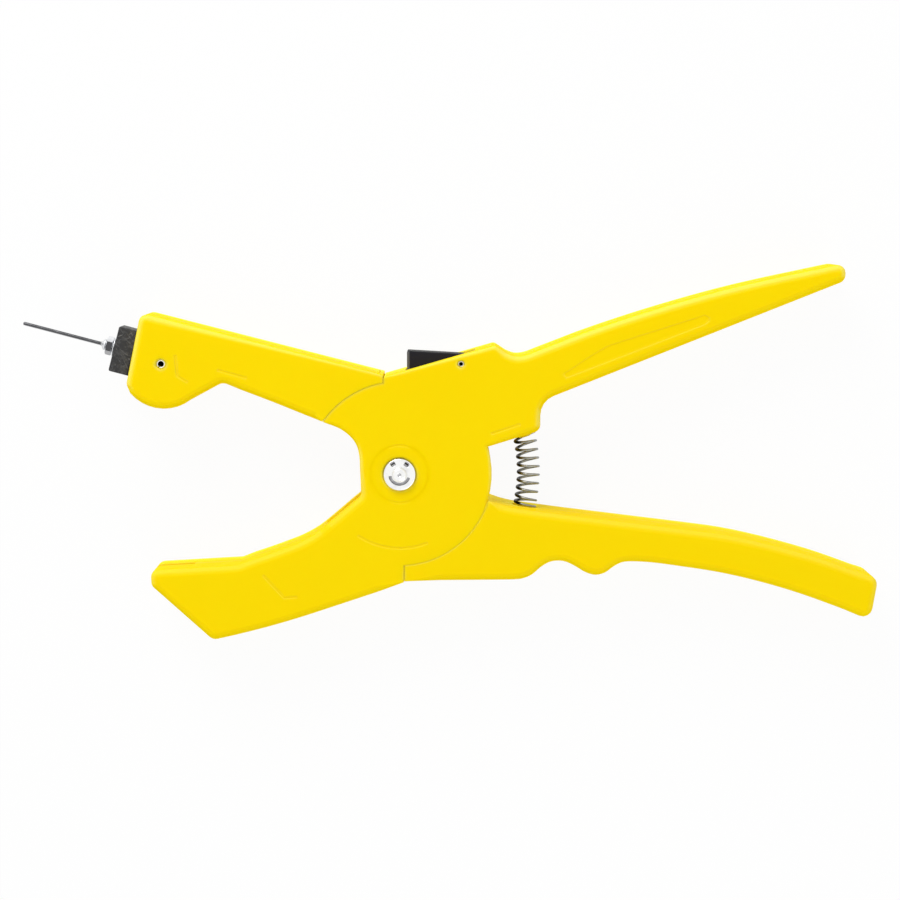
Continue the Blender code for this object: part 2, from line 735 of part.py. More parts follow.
def bore(target, centre, radius, low, high, side, sides=ROUND_SIDES):
    """Round hole between two heights measured from the middle plane."""
    ring = [Vector(centre) + polar(radius, TURN * i / sides) for i in range(sides)]
    cut(target, half_prism("bore", ring, low, high, side))


def peg(target, centre, normal, side):
    """Adds half of a round spring peg that stands on a spring seat."""
    across = Vector((-normal.y, normal.x))
    start = math.asin(HALF_GAP / PEG_RADIUS)
    rings = []
    for distance in (-PEG_HEIGHT, PEG_HEIGHT - PEG_CHAMFER, PEG_HEIGHT):
        radius = PEG_RADIUS - (PEG_CHAMFER if distance == PEG_HEIGHT else 0)
        ring = []
        for i in range(PEG_STEPS + 1):
            angle = start + (math.pi - 2 * start) * i / PEG_STEPS
            height = max(radius * math.sin(angle), HALF_GAP)
            spot = centre + across * (radius * math.cos(angle)) + normal * distance
            ring.append((spot.x, spot.y, MID + side * height))
        rings.append(ring)
    add(target, skin("peg", rings))


def socket(target, centre, normal, side):
    """Cuts half of the shallow round socket that holds the spring's lower end."""
    axis = (-normal.x, -normal.y, 0)
    top = centre + normal * OVERCUT
    cut(target, turned("socket", [(SOCKET_RADIUS, 0), (SOCKET_RADIUS, OVERCUT + SOCKET_DEPTH)],
                       (top.x, top.y, MID), axis))


def spring_seats():
    """Centre point, coil tilt in degrees and outward normal of both spring seats."""
    outer = place(FRAME_CORNER_SHARES[-1])
    inner = polar(HUB_RADIUS, SEAT_DEGREES)
    along = (outer - inner).normalized()
    upper = inner + along * ((SPAN * SPRING_UPPER_SHARE - inner.x) / along.x)
    x = SPAN * SPRING_LOWER_SHARE
    reach = SPRING_RADIUS
    left = Vector((x - reach, height_at(PLAN.lever_grip_top, x - reach)))
    right = Vector((x + reach, height_at(PLAN.lever_grip_top, x + reach)))
    slope = (right - left).normalized()
    lower = (left + right) / 2
    return ((upper, math.degrees(math.atan2(along.y, along.x)), Vector((along.y, -along.x))),
            (lower, math.degrees(math.atan2(slope.y, slope.x)), Vector((-slope.y, slope.x))))


def screw_holes(target, spots, side):
    """Screw bores: blind in the front half, with a head seat in the back half."""
    hole = SCREW_RADIUS + FIT_GAP
    seat = SCREW_HEAD_RADIUS + FIT_GAP
    depth = SCREW_SINK + SCREW_LENGTH + FIT_GAP - MID
    floor = MID - SCREW_SINK - SCREW_HEAD_HEIGHT - FIT_GAP
    if side > 0:
        profile = [(hole, -OVERCUT), (hole, depth)]
    else:
        profile = [(hole, -OVERCUT), (hole, floor), (seat, floor), (seat, MID + OVERCUT)]
    for spot in spots:
        cut(target, turned("screw_hole", profile, (spot.x, spot.y, MID), (0, 0, side),
                           SMALL_SIDES))


def hollows(target, top, bottom, spans, side):
    """Cored hollows inside one half, opened toward the middle plane."""
    for start, end in spans:
        outline = hollow(top, bottom, start, end)
        cut(target, half_prism("hollow", outline, -OVERCUT, MID - SKIN, side))


def surface_line(target, points):
    """Shallow line in the front face."""
    outline = ribbon(points, LINE_WIDTH)
    cut(target, half_prism("line", outline, MID - LINE_DEPTH, MID + OVERCUT, 1))


def ring_line(target):
    """Shallow ring in the front face about the pivot."""
    radius = SPAN * RING_LINE_SHARE
    cut(target, tube("ring", radius + LINE_WIDTH, radius, (0, 0, THICKNESS - LINE_DEPTH), (0, 0, 1),
                     LINE_DEPTH + OVERCUT, POCKET_SIDES // 2))


def frame_half(side):
    """Front or back half of the frame: upper handle, hub cheek and lower jaw."""
    points, weights = PLAN.frame
    half = rounded_half("frame", points, weights, side)
    (upper, _, normal), _ = spring_seats()
    peg(half, upper, normal, side)
    bore(half, (0, 0), POCKET_RADIUS, -OVERCUT, CHEEK_INNER, side, POCKET_SIDES)
    slot = places(LATCH_SLOT_SHARES)
    cut(half, half_prism("latch_slot", slot, -OVERCUT, LATCH_THICKNESS / 2 + FIT_GAP, side))
    cut(half, half_prism("needle_slot", places(NEEDLE_SLOT_SHARES), -OVERCUT,
                         SLOT_WIDTH / 2, side))
    hollows(half, PLAN.frame_top, places(FRAME_GRIP_BOTTOM_SHARES), FRAME_GRIP_HOLLOWS_SHARES,
            side)
    hollows(half, PLAN.frame_jaw_top, PLAN.frame_jaw_bottom, FRAME_JAW_HOLLOWS_SHARES, side)
    bore(half, (0, 0), PIVOT_RADIUS + FIT_GAP, 0, MID + OVERCUT, side)
    bore(half, PLAN.latch_pin, LATCH_PIN_RADIUS + FIT_GAP, 0, MID + OVERCUT, side, SMALL_SIDES)
    screw_holes(half, places(FRAME_SCREW_SHARES), side)
    if side > 0:
        bore(half, (0, 0), RECESS_RADIUS, MID - RECESS_DEPTH, MID + OVERCUT, side,
             POCKET_SIDES // 2)
        for table in FRAME_LINE_SHARES:
            surface_line(half, places(table))
        surface_line(half, arc(SPAN * HUB_LINE_SHARE, *HUB_LINE_DEGREES))
        ring_line(half)
        panel = smooth(places(PANEL_UPPER_SHARES), 2) + places(PANEL_LOWER_SHARES)
        cut(half, half_prism("panel", panel, MID - PANEL_DEPTH, MID + OVERCUT, side))
    else:
        bore(half, (0, 0), PIVOT_HEAD_RADIUS + FIT_GAP,
             MID - PIVOT_HEAD_THICKNESS - FIT_GAP, MID + OVERCUT, side)
    return half


def carrier_frame():
    """Directions of the carrier: toward the needle tip and across it."""
    along = polar(1, CARRIER_DEGREES)
    across = polar(1, CARRIER_DEGREES - QUARTER)
    return along, across


def carrier_pocket():
    """Outline of the room the carrier needs through its whole swing."""
    along, across = carrier_frame()
    swung = polar(1, CARRIER_DEGREES + CARRIER_SWING)
    behind = polar(1, CARRIER_DEGREES + CARRIER_SWING + QUARTER)
    room = CARRIER_UPPER + POCKET_ROOM
    back = CARRIER_LOWER + POCKET_ROOM
    far = SPAN * POCKET_REACH_SHARE
    centre = PLAN.carrier_pin
    start = CARRIER_DEGREES - QUARTER
    turn = CARRIER_DEGREES + CARRIER_SWING + QUARTER - TURN
    end = turn - math.degrees(math.acos(back / room))
    points = [centre + along * far + across * room]
    points += arc(room, start, end, centre, ARC_STEP_DEGREES * 2)
    points += [centre + behind * back + swung * far, centre + swung * far + along * far]
    return points


def lever_half(side):
    """Front or back half of the lever: upper jaw, tongue and lower handle."""
    half = rounded_half("lever", *PLAN.lever_jaw, side)
    grip = rounded_half("grip", *PLAN.lever_grip, side)
    _, (lower, _, normal) = spring_seats()
    socket(grip, lower, normal, side)
    peg(grip, lower - normal * SOCKET_DEPTH, normal, side)
    tongue = half_prism("tongue", PLAN.tongue_outline(), HALF_GAP, TONGUE_HALF, side)
    add(half, tongue)
    add(half, grip)
    cut(half, half_prism("pocket", carrier_pocket(), -OVERCUT,
                         CARRIER_THICKNESS / 2 + FIT_GAP, side))
    hollows(half, [PLAN.lever_jaw[0][1], place(LEVER_NOSE_SHARES[0])], PLAN.lever_jaw_bottom,
            LEVER_JAW_HOLLOWS_SHARES, side)
    hollows(half, PLAN.lever_grip_top, PLAN.lever_grip_bottom, LEVER_GRIP_HOLLOWS_SHARES, side)
    bore(half, (0, 0), BUSH_RADIUS + FIT_GAP, -OVERCUT, TONGUE_HALF + OVERCUT, side)
    floor = TONGUE_HALF + FIT_GAP - THRUST_THICKNESS - FIT_GAP * 2
    bore(half, (0, 0), THRUST_RADIUS + FIT_GAP, floor, TONGUE_HALF + OVERCUT, side)
    bore(half, PLAN.carrier_pin, CARRIER_PIN_RADIUS + FIT_GAP, 0, MID + OVERCUT, side,
         SMALL_SIDES)
    screw_holes(half, places(LEVER_SCREW_SHARES), side)
    if side > 0:
        for table in LEVER_LINE_SHARES:
            surface_line(half, places(table))
    return half


def pivot_parts():
    """Pivot pin, its washer, the push-on clip, the bush and the thrust washers."""
    washer_low = THICKNESS - RECESS_DEPTH + FIT_GAP
    clip_low = washer_low + WASHER_THICKNESS + FIT_GAP
    clip_high = clip_low + CLIP_THICKNESS
    stub_low = clip_high + FIT_GAP
    stub_high = stub_low + WASHER_THICKNESS
    shoulder = clip_low - FIT_GAP
    profile = [(PIVOT_HEAD_RADIUS - PIVOT_CHAMFER, 0),
               (PIVOT_HEAD_RADIUS, PIVOT_CHAMFER),
               (PIVOT_HEAD_RADIUS, PIVOT_HEAD_THICKNESS),
               (PIVOT_RADIUS, PIVOT_HEAD_THICKNESS),
               (PIVOT_RADIUS, shoulder),
               (PIVOT_GROOVE_RADIUS, shoulder),
               (PIVOT_GROOVE_RADIUS, stub_low),
               (PIVOT_STUB_RADIUS, stub_low),
               (PIVOT_STUB_RADIUS, stub_high),
               (PIVOT_STUB_RADIUS - PIVOT_CHAMFER, stub_high + PIVOT_DOME_RISE),
               (PIVOT_DIMPLE_RADIUS, stub_high + PIVOT_DOME_RISE * DOME_SHARE),
               (0, stub_high + PIVOT_DOME_RISE * DOME_SHARE - PIVOT_DIMPLE_DEPTH)]
    pin = turned("pivot_pin", profile, (0, 0, 0), (0, 0, 1))
    washer = tube("pivot_washer", WASHER_RADIUS, PIVOT_RADIUS + FIT_GAP,
                  (0, 0, washer_low), (0, 0, 1), WASHER_THICKNESS)
    clip = tube("pivot_clip", CLIP_RADIUS, PIVOT_GROOVE_RADIUS + FIT_GAP,
                (0, 0, clip_low), (0, 0, 1), CLIP_THICKNESS)
    for degrees in CLIP_NOTCH_DEGREES:
        line = [polar(CLIP_NOTCH_INNER, degrees), polar(CLIP_NOTCH_OUTER, degrees)]
        cut(clip, prism("notch", ribbon(line, CLIP_NOTCH_WIDTH), clip_low - OVERCUT,
                        clip_high + OVERCUT))
    window = (arc(CLIP_WINDOW_INNER, *CLIP_WINDOW_DEGREES, step=ARC_STEP_DEGREES * 2)
              + arc(CLIP_WINDOW_OUTER, *CLIP_WINDOW_DEGREES[::-1], step=ARC_STEP_DEGREES * 2))
    cut(clip, prism("window", window, clip_low - OVERCUT, clip_high + OVERCUT))
    half_bush = TONGUE_HALF - THRUST_THICKNESS - FIT_GAP * 2
    bush = tube("pivot_bush", BUSH_RADIUS, PIVOT_RADIUS + FIT_GAP, (0, 0, MID - half_bush),
                (0, 0, 1), half_bush * 2)
    low = MID + CHEEK_INNER - FIT_GAP - THRUST_THICKNESS
    front = tube("front_washer", THRUST_RADIUS, PIVOT_RADIUS + FIT_GAP, (0, 0, low), (0, 0, 1),
                 THRUST_THICKNESS)
    low = MID - CHEEK_INNER + FIT_GAP
    back = tube("back_washer", THRUST_RADIUS, PIVOT_RADIUS + FIT_GAP, (0, 0, low), (0, 0, 1),
                THRUST_THICKNESS)
    return pin, washer, clip, bush, front, back


def cross_roll_pin(name, centre, radius, wall):
    """Rolled pin that runs through both halves just below their faces."""
    length = THICKNESS - PIN_SINK * 2
    return tube(name, radius, radius - wall, (centre.x, centre.y, PIN_SINK),
                (0, 0, 1), length, SMALL_SIDES)


def carrier_block():
    """Swinging block with a round back, a pin hole and a threaded needle seat."""
    along, across = carrier_frame()
    centre = PLAN.carrier_pin
    back = math.degrees(math.asin(CARRIER_LOWER / CARRIER_UPPER))
    upper = centre + along * CARRIER_REACH + across * CARRIER_UPPER
    lower = centre + along * CARRIER_REACH - across * CARRIER_LOWER
    start = CARRIER_DEGREES - QUARTER
    round_back = arc(CARRIER_UPPER, start, start - QUARTER - back, centre, ARC_STEP_DEGREES * 2)
    points = corner(lower, upper, round_back[0], CARRIER_CORNER)
    points += round_back
    points += corner(round_back[-1], lower, upper, CARRIER_CORNER)
    block = prism("carrier", points, MID - CARRIER_THICKNESS / 2, MID + CARRIER_THICKNESS / 2)
    hole = turned("hole", [(CARRIER_PIN_RADIUS + FIT_GAP, -OVERCUT),
                           (CARRIER_PIN_RADIUS + FIT_GAP, CARRIER_THICKNESS + OVERCUT)],
                  (centre.x, centre.y, MID - CARRIER_THICKNESS / 2), (0, 0, 1), SMALL_SIDES)
    cut(block, hole)
    start = centre + across * NEEDLE_OFFSET
    seat = turned("seat", [(STUD_RADIUS + FIT_GAP, CARRIER_REACH - STUD_DEPTH - FIT_GAP),
                           (STUD_RADIUS + FIT_GAP, CARRIER_REACH + OVERCUT)],
                  (start.x, start.y, MID), (along.x, along.y, 0), SMALL_SIDES)
    cut(block, seat)
    return block


def needle_parts():
    """Needle with its threaded stud, the washer and the lock nut."""
    along, across = carrier_frame()
    start = PLAN.carrier_pin + across * NEEDLE_OFFSET
    origin = (start.x, start.y, MID)
    axis = (along.x, along.y, 0)
    washer_low = CARRIER_REACH + FIT_GAP
    low = washer_low + NEEDLE_WASHER_THICKNESS + FIT_GAP
    flare = low + NUT_THICKNESS + FIT_GAP
    tip = NEEDLE_REACH - NEEDLE_TIP_LENGTH
    profile = [(STUD_RADIUS, CARRIER_REACH - STUD_DEPTH),
               (STUD_RADIUS, flare), (FLARE_RADIUS, flare),
               (FLARE_RADIUS, flare + FLARE_LENGTH / 3),
               (NEEDLE_RADIUS, flare + FLARE_LENGTH),
               (NEEDLE_RADIUS, tip), (NEEDLE_TIP_RADIUS, NEEDLE_REACH)]
    needle = turned("needle", profile, origin, axis, SMALL_SIDES)
    washer = tube("needle_washer", NEEDLE_WASHER_RADIUS, STUD_RADIUS + FIT_GAP,
                  tuple(Vector(origin) + Vector(axis) * washer_low), axis,
                  NEEDLE_WASHER_THICKNESS, SMALL_SIDES)
    corner_radius = NUT_FLATS / 2 / math.cos(math.pi / 6)
    nut = turned("lock_nut", [(corner_radius, low), (corner_radius, low + NUT_THICKNESS)],
                 origin, axis, 6)
    rim = corner_radius + NUT_CHAMFER
    flat = NUT_FLATS / 2
    round_off = turned("round_off", [(flat - NUT_CHAMFER, low - NUT_CHAMFER),
                                     (rim, low + NUT_CHAMFER * 2),
                                     (rim, low + NUT_THICKNESS - NUT_CHAMFER * 2),
                                     (flat - NUT_CHAMFER, low + NUT_THICKNESS + NUT_CHAMFER)],
                       origin, axis)
    combine(nut, round_off, "INTERSECT")
    cut(nut, turned("thread", [(STUD_RADIUS + FIT_GAP, low - OVERCUT),
                               (STUD_RADIUS + FIT_GAP, low + NUT_THICKNESS + OVERCUT)],
                    origin, axis, SMALL_SIDES))
    return needle, washer, nut


def latch_block():
    """Latch with a tooth at its nose and a round back about its pin."""
    centre = PLAN.latch_pin
    nose = places(LATCH_NOSE_SHARES)
    back = arc(LATCH_BACK_RADIUS, QUARTER, -QUARTER, centre, ARC_STEP_DEGREES * 3)
    points = corner(nose[1], nose[0], back[0], LATCH_CORNER)
    points += back + nose[3:]
    points += corner(nose[3], nose[2], nose[1], LATCH_CORNER / 2)
    points += corner(nose[2], nose[1], nose[0], LATCH_CORNER / 2)
    block = prism("latch", points, MID - LATCH_THICKNESS / 2, MID + LATCH_THICKNESS / 2)
    hole = LATCH_PIN_RADIUS + FIT_GAP
    cut(block, turned("hole", [(hole, -OVERCUT), (hole, LATCH_THICKNESS + OVERCUT)],
                      (centre.x, centre.y, MID - LATCH_THICKNESS / 2), (0, 0, 1), SMALL_SIDES))
    return block


def screw(spot):
    """Screw with a cross recess that enters from the back."""
    head_top = SCREW_SINK + SCREW_HEAD_HEIGHT
    end = SCREW_SINK + SCREW_LENGTH
    profile = [(SCREW_HEAD_RADIUS - SCREW_CHAMFER, SCREW_SINK),
               (SCREW_HEAD_RADIUS, SCREW_SINK + SCREW_CHAMFER),
               (SCREW_HEAD_RADIUS, head_top), (SCREW_RADIUS, head_top),
               (SCREW_RADIUS, end - SCREW_RADIUS), (0, end)]
    one = turned("screw", profile, (spot.x, spot.y, 0), (0, 0, 1), SMALL_SIDES)
    for degrees in (0, QUARTER):
        reach = polar(DRIVE_LENGTH / 2, degrees)
        cut(one, prism("drive", ribbon([spot - reach, spot + reach], DRIVE_WIDTH),
                       SCREW_SINK - OVERCUT, SCREW_SINK + DRIVE_DEPTH))
    return one


def spring_line():
    """Middle line of the handle spring, from the frame seat to the lever seat."""
    (upper, upper_tilt, upper_out), (lower, lower_tilt, lower_out) = spring_seats()
    lift = WIRE_RADIUS + SPRING_SEAT_GAP
    start = upper + upper_out * lift
    end = lower + lower_out * (lift - SOCKET_DEPTH)
    length = (end - start).length
    open_turns = SPRING_TURNS - 1
    pitch = (length - SPRING_END_PITCH) / open_turns
    points = []
    count = SPRING_TURNS * SPRING_POINTS
    for i in range(count + 1):
        turn = i / SPRING_POINTS
        if turn < open_turns:
            way = turn * pitch
        else:
            way = length - (SPRING_TURNS - turn) * SPRING_END_PITCH
        share = way / length
        centre = start.lerp(end, share)
        centre.x += SPRING_BOW * math.sin(math.pi * share)
        tilt = math.radians(upper_tilt + (lower_tilt - upper_tilt) * share)
        angle = math.tau * turn
        out = SPRING_RADIUS * math.cos(angle)
        points.append(Vector((centre.x + out * math.cos(tilt), centre.y + out * math.sin(tilt),
                              MID - SPRING_RADIUS * math.sin(angle))))
    return points


def least_self_gap(points, thickness):
    """Smallest clear distance between different turns of the wire."""
    least = math.inf
    apart = SPRING_POINTS // 2
    for i in range(len(points) - 1):
        for j in range(i + apart, len(points) - 1):
            least = min(least, segment_distance(points[i], points[i + 1],
                                                points[j], points[j + 1]))
    return least - thickness


def segment_distance(a, b, c, d):
    """Distance between two short straight pieces, sampled finely."""
    samples = [k / GAP_SAMPLES for k in range(GAP_SAMPLES + 1)]
    return min((a.lerp(b, s) - c.lerp(d, t)).length for s in samples for t in samples)


def handle_spring():
    """Open coil spring between the handles, as one round wire."""
    points = spring_line()
    curve = bpy.data.curves.new("handle_spring", "CURVE")
    curve.dimensions = "3D"
    curve.bevel_depth = WIRE_RADIUS
    curve.bevel_resolution = 1
    curve.use_fill_caps = True
    spline = curve.splines.new("POLY")
    spline.points.add(len(points) - 1)
    for spot, point in zip(spline.points, points):
        spot.co = (*point, 1)
    wire = bpy.data.objects.new("handle_spring_line", curve)
    bpy.context.scene.collection.objects.link(wire)
    bpy.context.view_layer.update()
    graph = bpy.context.evaluated_depsgraph_get()
    mesh = bpy.data.meshes.new_from_object(wire.evaluated_get(graph))
    spring = bpy.data.objects.new("handle_spring", mesh)
    bpy.context.scene.collection.objects.link(spring)
    bpy.data.objects.remove(wire, do_unlink=True)
    print("handle_spring least self-gap mm",
          round(least_self_gap(points, WIRE_RADIUS * 2) * 1000, 3))
    return spring, points[0]


def build():
    """Builds every piece in its place."""
    for thing in list(bpy.data.objects):
        bpy.data.objects.remove(thing, do_unlink=True)
    pivot = (0, 0, MID)
    carrier = (PLAN.carrier_pin.x, PLAN.carrier_pin.y, MID)
    latch = (PLAN.latch_pin.x, PLAN.latch_pin.y, MID)
    finish(frame_half(1), "frame_front_shell", YELLOW, pivot)
    finish(frame_half(-1), "frame_back_shell", YELLOW, pivot)
    finish(lever_half(1), "lever_front_shell", YELLOW, pivot)
    finish(lever_half(-1), "lever_back_shell", YELLOW, pivot)
    pin, washer, clip, bush, front_washer, back_washer = pivot_parts()
    finish(pin, "pivot_pin", STEEL, pivot)
    finish(washer, "pivot_washer", DARK_STEEL, pivot)
    finish(clip, "pivot_clip", STEEL, pivot)
    finish(bush, "pivot_bush", BRONZE, pivot)
    finish(front_washer, "thrust_washer_front", BRONZE, pivot)
    finish(back_washer, "thrust_washer_back", BRONZE, pivot)
    finish(cross_roll_pin("carrier_pin", PLAN.carrier_pin, CARRIER_PIN_RADIUS, CARRIER_PIN_WALL),
           "carrier_pin", STEEL, carrier)
    finish(cross_roll_pin("latch_pin", PLAN.latch_pin, LATCH_PIN_RADIUS, LATCH_PIN_WALL),
           "latch_pin", STEEL, latch)
    finish(carrier_block(), "needle_carrier", GREY, carrier)
    needle, needle_washer, nut = needle_parts()
    finish(needle, "needle", STEEL, carrier)
    finish(needle_washer, "needle_washer", STEEL, carrier)
    finish(nut, "lock_nut", STEEL, carrier)
    finish(latch_block(), "latch", BLACK, latch)
    for owner, spots in (("frame", FRAME_SCREW_SHARES), ("lever", LEVER_SCREW_SHARES)):
        for spot, where in zip(places(spots), SCREW_NAMES):
            finish(screw(spot), f"{owner}_screw_{where}", DARK_STEEL, pivot)
    spring, start = handle_spring()
    finish(spring, "handle_spring", WIRE_STEEL, start)


build()
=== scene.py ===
"""Ear tag applicator: the looks of every piece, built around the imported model.

The tool lies on its back face.  The main pivot stands at x = 0, y = 0, the jaws reach toward
-X, the handles toward +X, and +Z looks out of the front face.  All sizes are metres.
"""
import logging
import math
from dataclasses import dataclass, replace
from enum import Enum
from functools import cached_property
from typing import Any, Dict, List, NamedTuple, Optional, Sequence, Tuple, Union

import bmesh
import bpy
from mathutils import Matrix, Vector


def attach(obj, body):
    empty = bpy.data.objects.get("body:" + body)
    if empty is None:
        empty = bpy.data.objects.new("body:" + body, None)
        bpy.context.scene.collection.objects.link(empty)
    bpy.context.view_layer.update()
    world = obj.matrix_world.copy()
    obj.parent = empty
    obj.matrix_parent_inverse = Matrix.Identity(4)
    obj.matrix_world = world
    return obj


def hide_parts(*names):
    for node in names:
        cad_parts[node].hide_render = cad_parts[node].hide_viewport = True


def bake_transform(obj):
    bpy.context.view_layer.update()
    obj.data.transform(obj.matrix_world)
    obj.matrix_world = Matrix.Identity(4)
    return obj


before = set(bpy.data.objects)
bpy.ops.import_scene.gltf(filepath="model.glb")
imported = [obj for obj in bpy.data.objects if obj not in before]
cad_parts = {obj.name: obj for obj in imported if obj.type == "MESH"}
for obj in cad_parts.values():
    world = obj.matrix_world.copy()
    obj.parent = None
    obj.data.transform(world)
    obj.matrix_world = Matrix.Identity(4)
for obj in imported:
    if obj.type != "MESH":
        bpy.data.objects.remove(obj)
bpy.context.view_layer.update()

logging.basicConfig(level=logging.INFO, format="%(name)s: %(message)s")
log = logging.getLogger("applicator")

Pair = Tuple[float, float]
Point = Tuple[float, float, float]
Four = Tuple[float, float, float, float]
Colour = Point
Look = Dict[str, Any]

# Heights of the seam between the halves and of the front face.
MIDDLE = 0.012
THICKNESS = 0.024
# Plan places of the two rolled pins.
CARRIER_PIN: Pair = (-0.0793, 0.03685)
LATCH_PIN: Pair = (0.0205, 0.03685)
# Reach under which two points are one, and reach of a cutting tool past the piece.
SMALL = 1e-7
CLEAR = 0.001
# Degrees above which an edge stays crisp, and counts for corners and the nut.
SHARP = 35.0
CORNER_STEPS = 4
HEX = 6
ORIGIN: Point = (0.0, 0.0, 0.0)
X_AXIS: Point = (1.0, 0.0, 0.0)
Y_AXIS: Point = (0.0, 1.0, 0.0)
Z_AXIS: Point = (0.0, 0.0, 1.0)
BLACK: Colour = (0.0, 0.0, 0.0)
WHITE: Colour = (1.0, 1.0, 1.0)


class Body(Enum):
    """Moving groups of the tool."""

    FRAME = "frame"
    LEVER = "lever"
    CARRIER = "carrier"
    LATCH = "latch"


class Slot(Enum):
    """Material slots of the record."""

    YELLOW = "yellow_body"
    BLACK = "black_latch"
    GREY = "grey_carrier"
    BRIGHT = "bright_steel"
    DARK = "dark_steel"
    WIRE = "spring_wire"


class Lay(Enum):
    """Direction in which a metal finish was worked."""

    ROUND = "round the axis"
    ALONG = "along the axis"


class Link:
    """One output of a node, with arithmetic that adds its Math nodes."""

    def __init__(self, sheet: "Sheet", socket: bpy.types.NodeSocket) -> None:
        """Keeps the socket and the sheet that its nodes go on."""
        self.sheet = sheet
        self.socket = socket

    def math(self, operation: str, other: "Value" = 0.0, flipped: bool = False) -> "Link":
        """Adds a Math node.

        Args:
            operation: Name of the Math node's operation.
            other: The second value, a number or a link.
            flipped: Puts the other value first.

        Returns:
            The result as a link.
        """
        first, second = (other, self) if flipped else (self, other)
        return self.sheet.node("ShaderNodeMath", {"operation": operation},
                               {0: first, 1: second}, "Value")

    def __add__(self, other: "Value") -> "Link":
        """Sum."""
        return self.math("ADD", other)

    def __radd__(self, other: "Value") -> "Link":
        """Sum with a number first."""
        return self.math("ADD", other, True)

    def __sub__(self, other: "Value") -> "Link":
        """Difference."""
        return self.math("SUBTRACT", other)

    def __rsub__(self, other: "Value") -> "Link":
        """Difference with a number first."""
        return self.math("SUBTRACT", other, True)

    def __mul__(self, other: "Value") -> "Link":
        """Product."""
        return self.math("MULTIPLY", other)

    def __rmul__(self, other: "Value") -> "Link":
        """Product with a number first."""
        return self.math("MULTIPLY", other, True)

    def absolute(self) -> "Link":
        """The value without its sign."""
        return self.math("ABSOLUTE")

    def wave(self) -> "Link":
        """Sine of the value, moved to run from 0 to 1."""
        return self.math("SINE") * 0.5 + 0.5

    def step(self, span: Pair) -> "Link":
        """Soft step from 0 at the span's first number to 1 at its second."""
        return self.sheet.node(
            "ShaderNodeMapRange", {"interpolation_type": "SMOOTHSTEP", "clamp": True},
            {"Value": self, "From Min": span[0], "From Max": span[1], "To Min": 0.0,
             "To Max": 1.0}, "Result")


Value = Union[Link, float, int]


class Parts(NamedTuple):
    """Shares of a vector along the three axes."""

    x: Link
    y: Link
    z: Link


